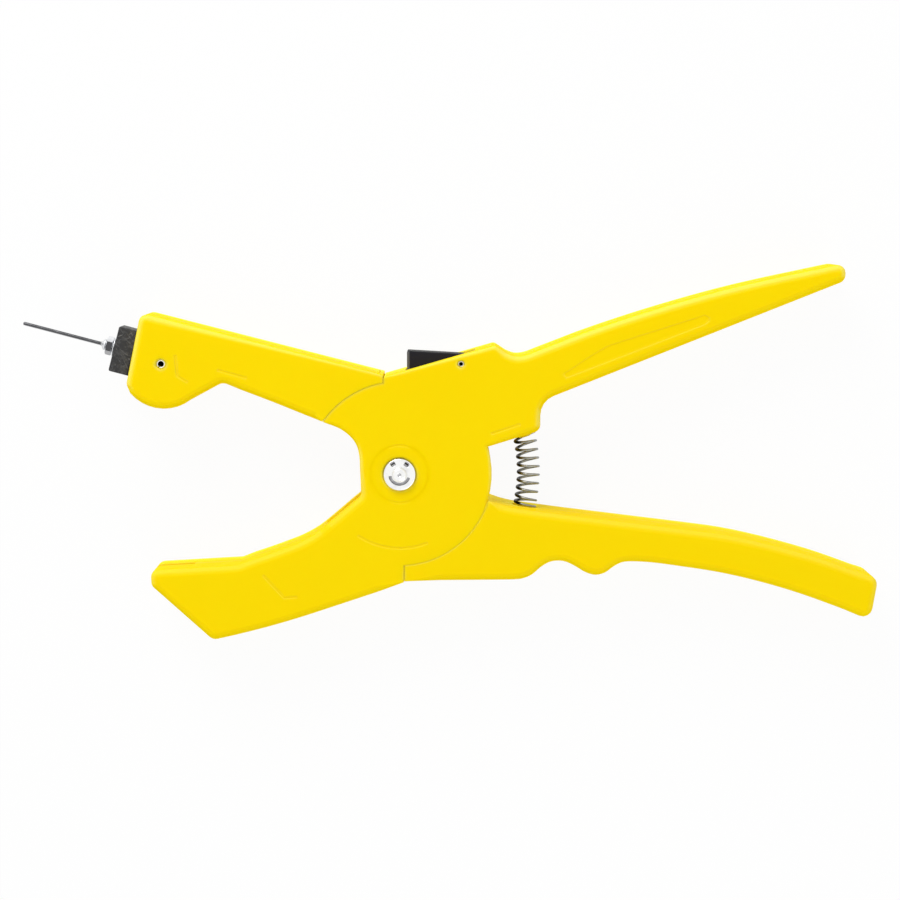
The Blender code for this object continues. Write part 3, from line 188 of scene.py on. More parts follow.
class Sheet:
    """Node sheet of a material or of the world."""

    rounding_samples: int = 6
    edge_span: Pair = (0.02, 0.25)
    mix_inputs: Tuple[int, ...] = (0, 6, 7)
    mix_output: int = 2

    def __init__(self, owner: Union[bpy.types.Material, bpy.types.World], output: str) -> None:
        """Clears the owner's sheet and adds its output.

        Args:
            owner: The material or the world.
            output: Type of the output node.
        """
        owner.use_nodes = True
        self.owner = owner
        self.tree = owner.node_tree
        self.tree.nodes.clear()
        self.output = self.tree.nodes.new(output)

    @classmethod
    def blank(cls, name: str) -> "Sheet":
        """Empty sheet of a new material."""
        return cls(bpy.data.materials.new(name), "ShaderNodeOutputMaterial")

    def node(self, kind: str, settings: Dict[str, Any], inputs: Dict[Union[str, int], Any],
             output: Union[str, int] = 0) -> Link:
        """Adds any node.

        Args:
            kind: The node's type.
            settings: Its own settings, set before its sockets.
            inputs: Values or links of its sockets.
            output: The output that is handed back.

        Returns:
            The chosen output as a link.
        """
        made = self.tree.nodes.new(kind)
        for key, value in settings.items():
            setattr(made, key, value)
        for key, value in inputs.items():
            self.feed(made.inputs[key], value)
        return Link(self, made.outputs[output])

    def feed(self, socket: bpy.types.NodeSocket, value: Any) -> None:
        """Links or sets one socket.

        Args:
            socket: The socket of a node.
            value: A link, a number, or a colour or vector.
        """
        if isinstance(value, Link):
            self.tree.links.new(value.socket, socket)
        elif socket.type == "RGBA":
            socket.default_value = (*value, 1.0)
        else:
            socket.default_value = value

    @cached_property
    def place(self) -> Link:
        """Place on the piece, in metres."""
        return self.node("ShaderNodeTexCoord", {}, {}, "Object")

    @cached_property
    def spot(self) -> Parts:
        """Place on the piece, by the three axes."""
        return self.parts(self.place)

    @cached_property
    def face(self) -> Parts:
        """Direction in which the surface of the piece faces, by the three axes."""
        return self.parts(self.node("ShaderNodeTexCoord", {}, {}, "Normal"))

    def rounded(self, reach: float) -> Link:
        """Normal that is rounded within a reach of the edges."""
        return self.node("ShaderNodeBevel", {"samples": self.rounding_samples},
                         {"Radius": reach}, "Normal")

    def vector(self, operation: str, first: Any, second: Any = ORIGIN,
               output: str = "Vector") -> Link:
        """Vector Math node."""
        return self.node("ShaderNodeVectorMath", {"operation": operation},
                         {0: first, 1: second}, output)

    def along(self, vector: Link, axis: Any) -> Link:
        """Share of a vector along an axis."""
        return self.vector("DOT_PRODUCT", vector, axis, "Value")

    def parts(self, vector: Link) -> Parts:
        """Shares of a vector along the three axes."""
        return Parts(*(self.along(vector, axis) for axis in (X_AXIS, Y_AXIS, Z_AXIS)))

    def beside(self, radius: float) -> Link:
        """Distance from a circle round the main pivot."""
        flat = self.vector("MULTIPLY", self.place, (1.0, 1.0, 0.0))
        return (self.vector("LENGTH", flat, output="Value") - radius).absolute()

    def noise(self, vector: Link, scale: float, detail: float = 2.0,
              roughness: float = 0.5, warp: float = 0.0) -> Link:
        """Noise from 0 to 1 at a scale of features per metre."""
        return self.node("ShaderNodeTexNoise", {"noise_dimensions": "3D"},
                         {"Vector": vector, "Scale": scale, "Detail": detail,
                          "Roughness": roughness, "Distortion": warp}, "Fac")

    def blend(self, factor: Value, first: Any, second: Any) -> Link:
        """Mix of two colours or vectors."""
        return self.node("ShaderNodeMix", {"data_type": "RGBA"},
                         dict(zip(self.mix_inputs, (factor, first, second))), self.mix_output)

    def edges(self, reach: float) -> Tuple[Link, Link]:
        """Rounded normal near edges, and a mask that is 1 on the edges.

        Args:
            reach: Reach of the rounding in metres.

        Returns:
            The rounded normal and the edge mask.
        """
        soft = self.rounded(reach)
        true = self.node("ShaderNodeNewGeometry", {}, {}, "Normal")
        return soft, (1.0 - self.along(soft, true)).step(self.edge_span)

    def relief(self, height: Link, distance: float, strength: float, normal: Link) -> Link:
        """Bump normal from a height of 0 to 1, where a height of 1 stands for the distance."""
        return self.node("ShaderNodeBump", {}, {"Height": height, "Distance": distance,
                                                "Strength": strength, "Normal": normal},
                         "Normal")

    def surface(self, **values: Any) -> Link:
        """Surface shader with its sockets set by name."""
        inputs = {name.replace("_", " "): value for name, value in values.items()}
        return self.node("ShaderNodeBsdfPrincipled", {}, inputs, "BSDF")

    def mixed(self, factor: Link, first: Link, second: Link) -> Link:
        """Mix of two shaders."""
        return self.node("ShaderNodeMixShader", {}, {0: factor, 1: first, 2: second}, "Shader")

    def watched(self) -> Link:
        """Mask that is 1 where the camera looks, also by way of gloss and glass."""
        camera, gloss, glass = (self.node("ShaderNodeLightPath", {}, {}, f"Is {ray} Ray")
                                for ray in ("Camera", "Glossy", "Transmission"))
        return camera.math("MAXIMUM", gloss).math("MAXIMUM", glass)

    def finish(self, shader: Link) -> Any:
        """Shows a shader on the sheet's owner and hands the owner back."""
        self.feed(self.output.inputs["Surface"], shader)
        return self.owner


@dataclass(frozen=True)
class Moulded:
    """Moulded finish with a fine peel, soft cloudiness and a painted highlight on its edges.

    A span gives the value at which a mask is 0 and the one at which it is 1.  Noises are given
    by their features per metre, their detail and their roughness.  The light_and_shade_band, a
    painted highlight on the latch's left end and a painted shadow on the carrier block's back, is
    given by its direction, the places along it where it starts and is full, and its colour.  The
    top colour is painted shade on the faces that look up.
    """

    name: str
    colour: Colour
    deep: Colour
    # paler colour of real scuffs and spots, also painted on edges and rims as a highlight
    marks_and_highlight: Colour
    roughness: float = 0.42
    spread: float = 0.10
    grain: float = 900.0
    depth: float = 0.00004
    level: float = 0.25
    scuffs: float = 0.0
    glow: float = 0.0
    mottle: float = 0.0
    # stripe of painted light: a highlight where its colour is paler, a shadow where it is darker
    light_and_shade_band: Optional[Tuple[Point, Pair, Colour]] = None
    # painted shade: darker colour for the faces that look up
    top: Optional[Colour] = None
    grain_form: Pair = (3.0, 0.6)
    grain_rough: float = 0.08
    peel: float = 0.35
    clouds: Pair = (22.0, 3.0)
    cloud_span: Pair = (0.35, 0.75)
    cloud_share: float = 0.5
    spots: Point = (620.0, 4.0, 0.62)
    spot_span: Pair = (0.44, 0.66)
    edge_reach: float = 0.0004
    # share of the painted edge highlight; the second part is broken up by the grain
    edge_highlight: Pair = (0.35, 0.4)
    top_span: Pair = (0.5, 0.8)
    scratch_ways: Tuple[Pair, ...] = ((-0.7, 0.0040), (-1.1, 0.0030), (0.5, 0.0026))
    scratch_size: Pair = (0.00034, 0.0012)
    scratch_form: Four = (1.0, 2.0, 0.6, 0.4)
    scratch_span: Pair = (0.62, 0.72)
    scratch_rough: float = 0.15
    glow_reach: Point = (1.0, 0.8, 0.15)
    glow_scale: float = 0.002

    def material(self) -> bpy.types.Material:
        """Builds the material."""
        sheet = Sheet.blank(self.name)
        return sheet.finish(sheet.surface(
            Metallic=0.0, Specular_IOR_Level=self.level, Subsurface_Weight=self.glow,
            Subsurface_Radius=self.glow_reach, Subsurface_Scale=self.glow_scale,
            **self.look(sheet)))

    def look(self, sheet: Sheet) -> Look:
        """Works out what varies over the surface.

        Args:
            sheet: Sheet of the material.

        Returns:
            The shader's sockets by name.
        """
        cloud = sheet.noise(sheet.place, *self.clouds)
        grain = sheet.noise(sheet.place, self.grain, *self.grain_form)
        soft, edge = sheet.edges(self.edge_reach)
        colour = sheet.blend(cloud.step(self.cloud_span) * self.cloud_share, self.colour,
                             self.deep)
        if self.mottle > 0:
            spots = sheet.noise(sheet.place, *self.spots).step(self.spot_span)
            colour = sheet.blend(spots * self.mottle, colour, self.marks_and_highlight)
        # painted highlight: the edges take the paler colour
        least, more = self.edge_highlight
        colour = sheet.blend(edge * (least + more * grain), colour, self.marks_and_highlight)
        rough = (self.roughness + self.spread * (cloud - 0.5)
                 + self.grain_rough * (grain - 0.5))
        if self.scuffs > 0:
            scratch = self.scratches(sheet)
            colour = sheet.blend(scratch * self.scuffs, colour, self.marks_and_highlight)
            rough = rough + scratch * self.scratch_rough
        # painted highlight on the latch's left end, painted shadow on the carrier block's back
        # under the jaw
        if self.light_and_shade_band is not None:
            way, span, tint = self.light_and_shade_band
            colour = sheet.blend(sheet.along(sheet.place, way).step(span), colour, tint)
        # painted shade on the faces that look up
        if self.top is not None:
            colour = sheet.blend(sheet.face.y.step(self.top_span), colour, self.top)
        return {"Base_Color": colour, "Roughness": rough,
                "Normal": sheet.relief(grain, self.depth, self.peel, soft)}

    def scratches(self, sheet: Sheet) -> Link:
        """Thin light lines that cross each other.

        Args:
            sheet: Sheet of the material.

        Returns:
            Mask that is 1 on the lines.
        """
        marks: Value = 0.0
        for turn, length in self.scratch_ways:
            turned = sheet.node("ShaderNodeMapping", {"vector_type": "TEXTURE"},
                                {"Vector": sheet.place, "Rotation": (0.0, 0.0, turn),
                                 "Scale": (length, *self.scratch_size)}, "Vector")
            marks = sheet.noise(turned, *self.scratch_form).step(self.scratch_span) + marks
        return marks.math("MINIMUM", 1.0)


@dataclass(frozen=True)
class BodyPaint(Moulded):
    """Body finish with glossy rims, a painted highlight on the rims, painted shade lines on the
    upward sides and a worn ring line.

    The coat and the painted highlight on the rims fade on the lower half, as if lit from above,
    and beside the hub's seam.  Upward sides between the handles, where little light reaches,
    take a paler painted-light colour and a faint painted glow.
    """

    polish: float = 0.25
    gloss: float = 0.06
    coat_rough: float = 0.25
    # share of the painted highlight on the rims
    rim: float = 0.65
    rim_reach: float = 0.0018
    rim_inner: Pair = (0.995, 0.85)
    rim_outer: Pair = (0.15, 0.50)
    rim_under: Pair = (-0.30, -0.05)
    # the painted highlight and the coat are fainter on the lower half, as if lit from above
    low_span: Pair = (-0.012, 0.004)
    low_share: float = 0.35
    seam: float = 0.0310
    seam_span: Pair = (0.0022, 0.0016)
    seam_end: Pair = (0.0298, 0.0290)
    seam_share: float = 0.75
    ring: float = 0.00955
    ring_span: Pair = (0.0014, 0.0009)
    ring_height: Pair = (0.0225, 0.0235)
    ring_side: Pair = (0.0018, 0.0045)
    ring_share: float = 0.45
    # colour of the painted shade lines along the back edges and the parting of the upward sides
    line: Colour = (0.50, 0.33, 0.01)
    line_share: float = 0.6
    line_up: Pair = (0.3, 0.6)
    back_height: Pair = (0.0030, 0.0018)
    back_low: Pair = (-0.002, -0.006)
    back_side: Pair = (0.040, 0.048)
    parting_width: Pair = (0.0009, 0.0005)
    parting_high: Pair = (0.010, 0.014)
    # painted light: strength of the glow and paler colour on upward sides in shade
    lift: float = 0.3
    painted_light: Colour = (1.0, 0.90, 0.07)
    dim_samples: int = 8
    dim_reach: float = 0.015
    dim_span: Pair = (0.10, 0.60)
    dim_front: Pair = (0.60, 0.30)
    dim_up: Pair = (0.2, 0.5)

    def look(self, sheet: Sheet) -> Look:
        """Adds the painted rim highlight, the painted shade lines and the painted light between
        the handles to the moulded look.

        Args:
            sheet: Sheet of the material.

        Returns:
            The shader's sockets by name.
        """
        look = super().look(sheet)
        rims, worn = self.rims(sheet), self.worn(sheet)
        dim, drawn = self.hidden(sheet), self.outline(sheet)
        # painted highlight: the rims take the paler colour
        colour = sheet.blend(rims * self.rim, look["Base_Color"], self.marks_and_highlight)
        # painted light on the shaded upward sides, then the painted shade lines over it
        colour = sheet.blend(drawn, sheet.blend(dim, colour, self.painted_light), self.line)
        # painted glow: upward sides in shade glow faintly, though the body is no lamp
        painted_glow = sheet.blend(dim * self.lift * (1.0 - drawn), BLACK, self.painted_light)
        look.update(Base_Color=sheet.blend(worn, colour, self.colour),
                    Normal=sheet.blend(worn, look["Normal"], Z_AXIS),
                    Coat_Weight=(rims * self.polish + self.gloss) * (1.0 - worn),
                    Coat_Roughness=self.coat_rough, Emission_Color=painted_glow,
                    Emission_Strength=1.0)
        return look

    def rims(self, sheet: Sheet) -> Link:
        """Round rims that take the painted highlight and the coat, fainter on the lower half, as
        if lit from above, and beside the hub's seam.

        Args:
            sheet: Sheet of the material.

        Returns:
            Mask of the rims, save those that face down.
        """
        soft = sheet.parts(sheet.rounded(self.rim_reach))
        front = soft.z.absolute()
        edge = (front.step(self.rim_inner) * front.step(self.rim_outer)
                * soft.y.step(self.rim_under))
        seam = (sheet.beside(self.seam).step(self.seam_span)
                * sheet.spot.x.step(self.seam_end) * self.seam_share)
        share = sheet.spot.y.step(self.low_span) * (1.0 - self.low_share) + self.low_share
        return edge * (1.0 - seam) * share

    def outline(self, sheet: Sheet) -> Link:
        """Thin painted shade lines on the upward sides.

        Args:
            sheet: Sheet of the material.

        Returns:
            Mask along the back edge of the lower tops and the parting of the upper ones.
        """
        side, high, front = sheet.spot
        back = (front.step(self.back_height) * high.step(self.back_low)
                * side.absolute().step(self.back_side))
        parting = ((front - MIDDLE).absolute().step(self.parting_width)
                   * high.step(self.parting_high))
        return sheet.face.y.step(self.line_up) * (back + parting) * self.line_share

    def hidden(self, sheet: Sheet) -> Link:
        """Upward sides that little light reaches, which take the painted light.

        Args:
            sheet: Sheet of the material.

        Returns:
            Mask that rises toward 1 there.
        """
        seen = sheet.node("ShaderNodeAmbientOcclusion", {"samples": self.dim_samples},
                          {"Distance": self.dim_reach}, "AO")
        return ((1.0 - seen).step(self.dim_span)
                * sheet.face.z.absolute().step(self.dim_front)
                * sheet.face.y.step(self.dim_up))

    def worn(self, sheet: Sheet) -> Link:
        """Worn parts of the ring line round the pivot.

        Args:
            sheet: Sheet of the material.

        Returns:
            Mask that is 1 where the line is worn away.
        """
        near = (sheet.beside(self.ring).step(self.ring_span)
                * sheet.spot.z.step(self.ring_height))
        side = sheet.spot.x.absolute().step(self.ring_side)
        return near * (side * (1.0 - self.ring_share) + self.ring_share)


@dataclass(frozen=True)
class Worked:
    """Metal worked on a lathe or drawn through a die.

    Past its split along the axis, the metal takes the colour beyond.
    """

    name: str
    colour: Colour
    dull: Colour
    roughness: float
    lay: Lay
    axis: Point = Z_AXIS
    centre: Point = ORIGIN
    pitch: float = 0.00022
    depth: float = 0.000012
    split: Optional[Pair] = None
    beyond: Colour = (0.5, 0.5, 0.5)
    bore: float = 0.0
    bore_shade: Colour = (0.004, 0.004, 0.004)
    facet_shade: float = 0.0
    uneven: Pair = (1500.0, 2.0)
    uneven_share: float = 3.0
    stains: Point = (350.0, 4.0, 0.6)
    stain_span: Pair = (0.42, 0.72)
    stain_share: float = 0.6
    stain_rough: float = 0.16
    groove_rough: float = 0.06
    groove_strength: float = 0.5
    edge_reach: float = 0.00015
    edge_share: float = 0.5
    # painted reflection and shade: facets facing front and back take the dark front colour, facets
    # facing down the grey under colour
    front: Colour = (0.08, 0.08, 0.085)
    front_span: Pair = (0.88, 0.97)
    under: Colour = (0.38, 0.38, 0.39)
    under_span: Pair = (-0.45, -0.75)
    bore_span: Pair = (1.08, 1.02)

    def material(self) -> bpy.types.Material:
        """Builds the material.

        Returns:
            The material, with painted shade on its facets and in its bore where it has them.
        """
        sheet = Sheet.blank(self.name)
        place = sheet.vector("SUBTRACT", sheet.place, self.centre)
        along = sheet.along(place, self.axis)
        across = sheet.vector("LENGTH", sheet.vector("CROSS_PRODUCT", place, self.axis),
                              output="Value")
        uneven = sheet.noise(place, *self.uneven)
        run = across if self.lay is Lay.ROUND else along
        groove = (run * (math.tau / self.pitch) + uneven * self.uneven_share).wave()
        stain = sheet.noise(place, *self.stains)
        soft, edge = sheet.edges(self.edge_reach)
        main: Any = self.colour
        facet_shade: Value = self.facet_shade
        if self.split is not None:
            past = along.step(self.split)
            main, facet_shade = sheet.blend(past, self.colour, self.beyond), past * self.facet_shade
        colour = sheet.blend(stain.step(self.stain_span) * self.stain_share, main, self.dull)
        colour = sheet.blend(edge * self.edge_share, colour, main)
        # painted reflection and shade on the facets
        if self.facet_shade > 0:
            front = sheet.face.z.absolute().step(self.front_span)
            under = sheet.face.y.step(self.under_span)
            colour = sheet.blend(front * facet_shade, colour, self.front)
            colour = sheet.blend(under * facet_shade, colour, self.under)
        # painted shade inside the bore
        if self.bore > 0:
            outer, inner = self.bore_span
            deep = across.step((self.bore * outer, self.bore * inner))
            colour = sheet.blend(deep, colour, self.bore_shade)
        rough = (self.roughness + self.stain_rough * (stain - 0.5)
                 + self.groove_rough * groove)
        normal = sheet.relief(groove, self.depth, self.groove_strength, soft)
        return sheet.finish(sheet.surface(Base_Color=colour, Roughness=rough, Normal=normal,
                                          Metallic=1.0))


@dataclass(frozen=True)
class Floor:
    """Pale studio floor that keeps a faint shadow."""

    colour: Colour = (0.90, 0.90, 0.90)
    shade: Colour = (0.84, 0.84, 0.84)
    cloud: Pair = (60.0, 2.0)
    cloud_share: float = 0.04
    roughness: float = 0.9
    whiteness: float = 0.94

    def material(self) -> bpy.types.Material:
        """Builds the material.

        Returns:
            The material, which is nearly white to the camera.
        """
        sheet = Sheet.blank("studio_floor")
        cloud = sheet.noise(sheet.place, *self.cloud) * self.cloud_share
        laid = sheet.surface(Base_Color=sheet.blend(cloud, self.colour, self.shade),
                             Roughness=self.roughness)
        white = sheet.node("ShaderNodeEmission", {}, {"Color": WHITE, "Strength": 1.0})
        return sheet.finish(sheet.mixed(sheet.watched() * self.whiteness, laid, white))


class Shop:
    """Makes the meshes of the pieces, in the frame's own metres."""

    corner_share: float = 0.45
    mitre_limit: float = 0.5

    @staticmethod
    def shade(mesh: bpy.types.Mesh, sharp: float = SHARP) -> None:
        """Shades a mesh smooth, save for edges above an angle in degrees."""
        mesh.shade_smooth()
        mesh.set_sharp_from_angle(angle=math.radians(sharp))

    @classmethod
    def skin(cls, name: str, layers: Sequence[Sequence[Vector]], joined: bool = False,
             sharp: float = SHARP) -> bpy.types.Object:
        """Makes a solid from layers of points, where a layer of one point is a tip.

        Args:
            name: Name of the piece.
            layers: Points of each layer, in the same order round it.
            joined: True where the last layer joins the first, otherwise the ends are closed.
            sharp: Angle in degrees above which an edge stays crisp.

        Returns:
            The new object.
        """
        builder = bmesh.new()
        rings = [[builder.verts.new(point) for point in layer] for layer in layers]
        for low, high in zip(rings, rings[1:] + rings[:1] if joined else rings[1:]):
            sides = max(len(low), len(high))
            for i in range(sides):
                j = (i + 1) % sides
                face = list(dict.fromkeys((low[i % len(low)], low[j % len(low)],
                                           high[j % len(high)], high[i % len(high)])))
                if len(face) > 2:
                    builder.faces.new(face)
        if not joined:
            for ring in (rings[0], rings[-1]):
                if len(ring) > 1:
                    builder.faces.new(ring)
        bmesh.ops.remove_doubles(builder, verts=builder.verts, dist=SMALL)
        bmesh.ops.recalc_face_normals(builder, faces=builder.faces)
        if builder.calc_volume(signed=True) < 0:
            bmesh.ops.reverse_faces(builder, faces=builder.faces)
        mesh = bpy.data.meshes.new(name)
        builder.to_mesh(mesh)
        builder.free()
        piece = bpy.data.objects.new(name, mesh)
        bpy.context.scene.collection.objects.link(piece)
        cls.shade(mesh, sharp)
        return piece

    @classmethod
    def eased(cls, profile: Sequence[Pair], radius: float, steps: int = 3,
              closed: bool = False) -> List[Pair]:
        """Rounds the corners of a profile.

        Args:
            profile: Corner points of the profile.
            radius: Rounding radius, cut short at short sides.
            steps: Segments in each rounding.
            closed: True where the last point joins the first.

        Returns:
            The profile with round corners.
        """
        points = [Vector(p) for p in profile]
        count = len(points)
        result: List[Pair] = []
        for i, tip in enumerate(points):
            if not closed and i in (0, count - 1):
                result.append(tuple(tip))
                continue
            before, after = points[i - 1] - tip, points[(i + 1) % count] - tip
            reach = min(radius, before.length * cls.corner_share,
                        after.length * cls.corner_share)
            start, end = tip + before.normalized() * reach, tip + after.normalized() * reach
            for k in range(steps + 1):
                t = k / steps
                result.append(tuple(start * (1 - t) ** 2 + tip * (2 * t * (1 - t))
                                    + end * t ** 2))
        return result

    @classmethod
    def turned(cls, name: str, profile: Sequence[Pair], origin: Point = ORIGIN,
               axis: Point = Z_AXIS, sides: int = 64, joined: bool = False) -> bpy.types.Object:
        """Turned solid, or a ring where the profile closes on itself.

        Args:
            name: Name of the piece.
            profile: Pairs of radius and distance along the axis.
            origin: Where the distances start.
            axis: Direction of the axis.
            sides: Points round the axis.
            joined: True for a ring, whose profile is a closed loop.

        Returns:
            The new object.
        """
        turn = Vector(axis).normalized().to_track_quat("Z", "Y").to_matrix()
        start = Vector(origin)
        layers = [[start + turn @ Vector((radius * math.cos(math.tau * i / sides),
                                          radius * math.sin(math.tau * i / sides), distance))
                   for i in range(sides if radius > SMALL else 1)]
                  for radius, distance in profile]
        return cls.skin(name, layers, joined)

    @classmethod
    def washer(cls, name: str, sizes: Four, edge: float = 0.0, origin: Point = ORIGIN,
               axis: Point = Z_AXIS, sides: int = 48, steps: int = 3) -> bpy.types.Object:
        """Flat ring about an axis.

        Args:
            name: Name of the piece.
            sizes: Outer and inner radius, height and thickness.
            edge: Rounding of its rims, or 0 for crisp ones.
            origin: Where the height starts.
            axis: Direction of the axis.
            sides: Points round the axis.
            steps: Segments in each rim.

        Returns:
            The new object.
        """
        outer, inner, low, thick = sizes
        loop = [(outer, low), (outer, low + thick), (inner, low + thick), (inner, low)]
        if edge > 0:
            loop = cls.eased(loop, edge, steps, True)
        return cls.turned(name, loop, origin, axis, sides, True)

    @classmethod
    def slab(cls, name: str, outline: Sequence[Pair], low: float, high: float, edge: float,
             steps: int = 3) -> bpy.types.Object:
        """Flat plate with rounded rims.

        Args:
            name: Name of the piece.
            outline: Plan outline, anticlockwise.
            low: Height of its back.
            high: Height of its front.
            edge: Rounding of both rims.
            steps: Segments in each rim.

        Returns:
            The new object.
        """
        points = [Vector(p) for p in outline]
        inward = []
        for before, point, after in zip(points[-1:] + points, points, points[1:] + points[:1]):
            first = (point - before).normalized()
            along = (first + (after - point).normalized()).normalized()
            inward.append(Vector((-along.y, along.x)) / max(along.dot(first), cls.mitre_limit))
        turns = [math.pi / 2 * k / steps for k in range(steps + 1)]
        rims = [(edge * (1 - math.sin(a)), low + edge * (1 - math.cos(a))) for a in turns]
        rims += [(edge * (1 - math.cos(a)), high - edge * (1 - math.sin(a))) for a in turns]
        return cls.skin(name, [[(point + way * inset).to_3d() + Vector((0.0, 0.0, height))
                                for point, way in zip(points, inward)]
                               for inset, height in rims])

    @classmethod
    def wire(cls, name: str, path: Sequence[Vector], radii: Sequence[float],
             sides: int = 12, sharp: float = 60.0) -> bpy.types.Object:
        """Round wire along a path, with flat ends.

        Args:
            name: Name of the piece.
            path: Points of its middle line.
            radii: Radius of the wire at each point.
            sides: Points round the wire.
            sharp: Angle in degrees above which an edge stays crisp.

        Returns:
            The new object.
        """
        layers = []
        normal = Vector(Y_AXIS)
        for i, (point, radius) in enumerate(zip(path, radii)):
            along = (path[min(i + 1, len(path) - 1)] - path[max(i - 1, 0)]).normalized()
            normal = (normal - along * normal.dot(along)).normalized()
            side = along.cross(normal)
            layers.append([point + (normal * math.cos(math.tau * k / sides)
                                    + side * math.sin(math.tau * k / sides)) * radius
                           for k in range(sides)])
        return cls.skin(name, layers, sharp=sharp)

    @classmethod
    def carve(cls, target: bpy.types.Object, tool: bpy.types.Object) -> None:
        """Cuts one solid out of another and drops the tool.

        Args:
            target: The piece that is cut.
            tool: The solid that is taken away.
        """
        change = target.modifiers.new("carve", "BOOLEAN")
        change.operation = "DIFFERENCE"
        change.solver = "EXACT"
        change.object = tool
        bpy.context.view_layer.update()
        graph = bpy.context.evaluated_depsgraph_get()
        mesh = bpy.data.meshes.new_from_object(target.evaluated_get(graph))
        target.modifiers.clear()
        target.data = mesh
        bpy.data.objects.remove(tool, do_unlink=True)
        cls.shade(mesh)

    @classmethod
    def drill(cls, target: bpy.types.Object, radius: float, span: Pair, origin: Point,
              axis: Point = Z_AXIS, sides: int = 32) -> None:
        """Cuts a round hole.

        Args:
            target: The piece that is cut.
            radius: Radius of the hole.
            span: Distances along the axis between which it runs.
            origin: Where the distances start.
            axis: Direction of the hole.
            sides: Points round the hole.
        """
        profile = [(radius, distance) for distance in span]
        cls.carve(target, cls.turned("drill", profile, origin, axis, sides))

    @staticmethod
    def dress(piece: bpy.types.Object, material: bpy.types.Material, body: Body, slot: Slot,
              *nodes: str) -> None:
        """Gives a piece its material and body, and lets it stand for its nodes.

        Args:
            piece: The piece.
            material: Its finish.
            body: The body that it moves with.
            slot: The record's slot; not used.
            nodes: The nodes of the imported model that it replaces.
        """
        piece.data.materials.clear()
        piece.data.materials.append(material)
        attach(piece, body.value)
        if nodes:
            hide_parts(*nodes)
        log.info("%s rides on %s", piece.name, body.value)

    @staticmethod
    def recolour(material: bpy.types.Material, *nodes: str) -> None:
        """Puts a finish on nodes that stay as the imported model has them.

        Args:
            material: Their finish.
            nodes: Names of the nodes.
        """
        for node in nodes:
            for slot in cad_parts[node].material_slots:
                slot.material = material
            log.info("%s keeps its own mesh", node)


def polar(radius: float, degrees: float, centre: Pair = (0.0, 0.0)) -> Pair:
    """Plan point at a radius and an angle about a centre."""
    angle = math.radians(degrees)
    return (centre[0] + radius * math.cos(angle), centre[1] + radius * math.sin(angle))


def arc(radius: float, start: float, end: float, centre: Pair = (0.0, 0.0),
        count: int = 24) -> List[Pair]:
    """Plan points along an arc, both ends included."""
    return [polar(radius, start + (end - start) * i / count, centre) for i in range(count + 1)]


def oblong(left: float, low: float, right: float, high: float) -> List[Pair]:
    """Plan outline of an upright box."""
    return [(left, low), (right, low), (right, high), (left, high)]


# the third colour is the paler one, painted on edges and rims as a highlight
YELLOW_PAINT = BodyPaint("yellow_body", (0.99, 0.715, 0.001), (0.975, 0.69, 0.0008),
                         (1.0, 0.83, 0.12), level=0.0, glow=0.35)
# painted light: a paler copy of the body yellow for the thin lips, pads and collars that sit in
# the seams
LIT_YELLOW_TRIM = Moulded("lit_yellow_trim", (1.0, 0.78, 0.04), (0.99, 0.76, 0.035),
                      (1.0, 0.79, 0.05), level=0.0, glow=0.35)
# light_and_shade_band paints a highlight on the latch's left end; top paints shade on its upward
# faces
BLACK_NYLON = Moulded("black_latch", (0.011, 0.010, 0.015), (0.008, 0.007, 0.011),
                      (0.014, 0.014, 0.018), 0.5, 0.12, 1500.0, 0.00003, 0.15, 0.15,
                      light_and_shade_band=((-1.0, 0.0, 0.0), (-0.0034, -0.0031), (0.10, 0.10, 0.105)),
                      top=(0.003, 0.003, 0.003))
# light_and_shade_band paints a shadow on the block's back, under the jaw's rim
GREY_BLOCK = Moulded("grey_carrier", (0.026, 0.026, 0.028), (0.016, 0.016, 0.017),
                     (0.16, 0.16, 0.165), 0.48, 0.14, 1800.0, 0.00003, 0.35, 0.9, mottle=0.25,
                     light_and_shade_band=((0.967, -0.254, 0.0), (-0.0974, -0.0966), (0.003, 0.002, 0.001)))
# black material of the discs that stand in for the shade deep in the rolled pins' bores
PIN_SHADE = Moulded("pin_shade", (0.006, 0.006, 0.006), (0.004, 0.004, 0.004),
                    (0.010, 0.010, 0.010), 0.9, level=0.05)
BRONZE_SHELL = Worked("bronze", (0.50, 0.33, 0.14), (0.30, 0.19, 0.08), 0.35, Lay.ROUND)


@dataclass
class Shells:
    """The four moulded halves of the frame and the lever."""

    nodes: Tuple[str, ...] = ("frame_front_shell", "frame_back_shell", "lever_front_shell",
                              "lever_back_shell")

    def build(self) -> bpy.types.Material:
        """Dresses the four halves and adds the thin trim of the frame.

        Returns:
            The finish of the trim.
        """
        material, trim = YELLOW_PAINT.material(), LIT_YELLOW_TRIM.material()
        Shop.recolour(material, *self.nodes)
        HubLip().build(trim)
        StopPad().build(trim)
        return trim


@dataclass
class HubLip:
    """Thin lip on the hub's rim that closes the seams beside the lever's shoulders.

    A span is given by its name and the angles at which it starts and ends.
    """

    inner: float = 0.03070
    outer: float = 0.03102
    sink: float = 0.00005
    depth: float = 0.0030
    edge: float = 0.00002
    spans: Tuple[Tuple[str, float, float], ...] = (("upper", 99.9, 145.2),
                                                   ("lower", -87.3, -17.4))

    def build(self, material: bpy.types.Material) -> None:
        """Builds the lip's two arcs at the front and at the back.

        Args:
            material: Finish of the trim.
        """
        top = THICKNESS - self.sink
        for side, low in (("front", top - self.depth), ("back", self.sink)):
            for where, start, end in self.spans:
                outline = arc(self.outer, start, end) + arc(self.inner, end, start)
                lip = Shop.slab(f"hub_lip_{where}_{side}", outline, low, low + self.depth,
                                self.edge, 1)
                Shop.dress(lip, material, Body.FRAME, Slot.YELLOW)


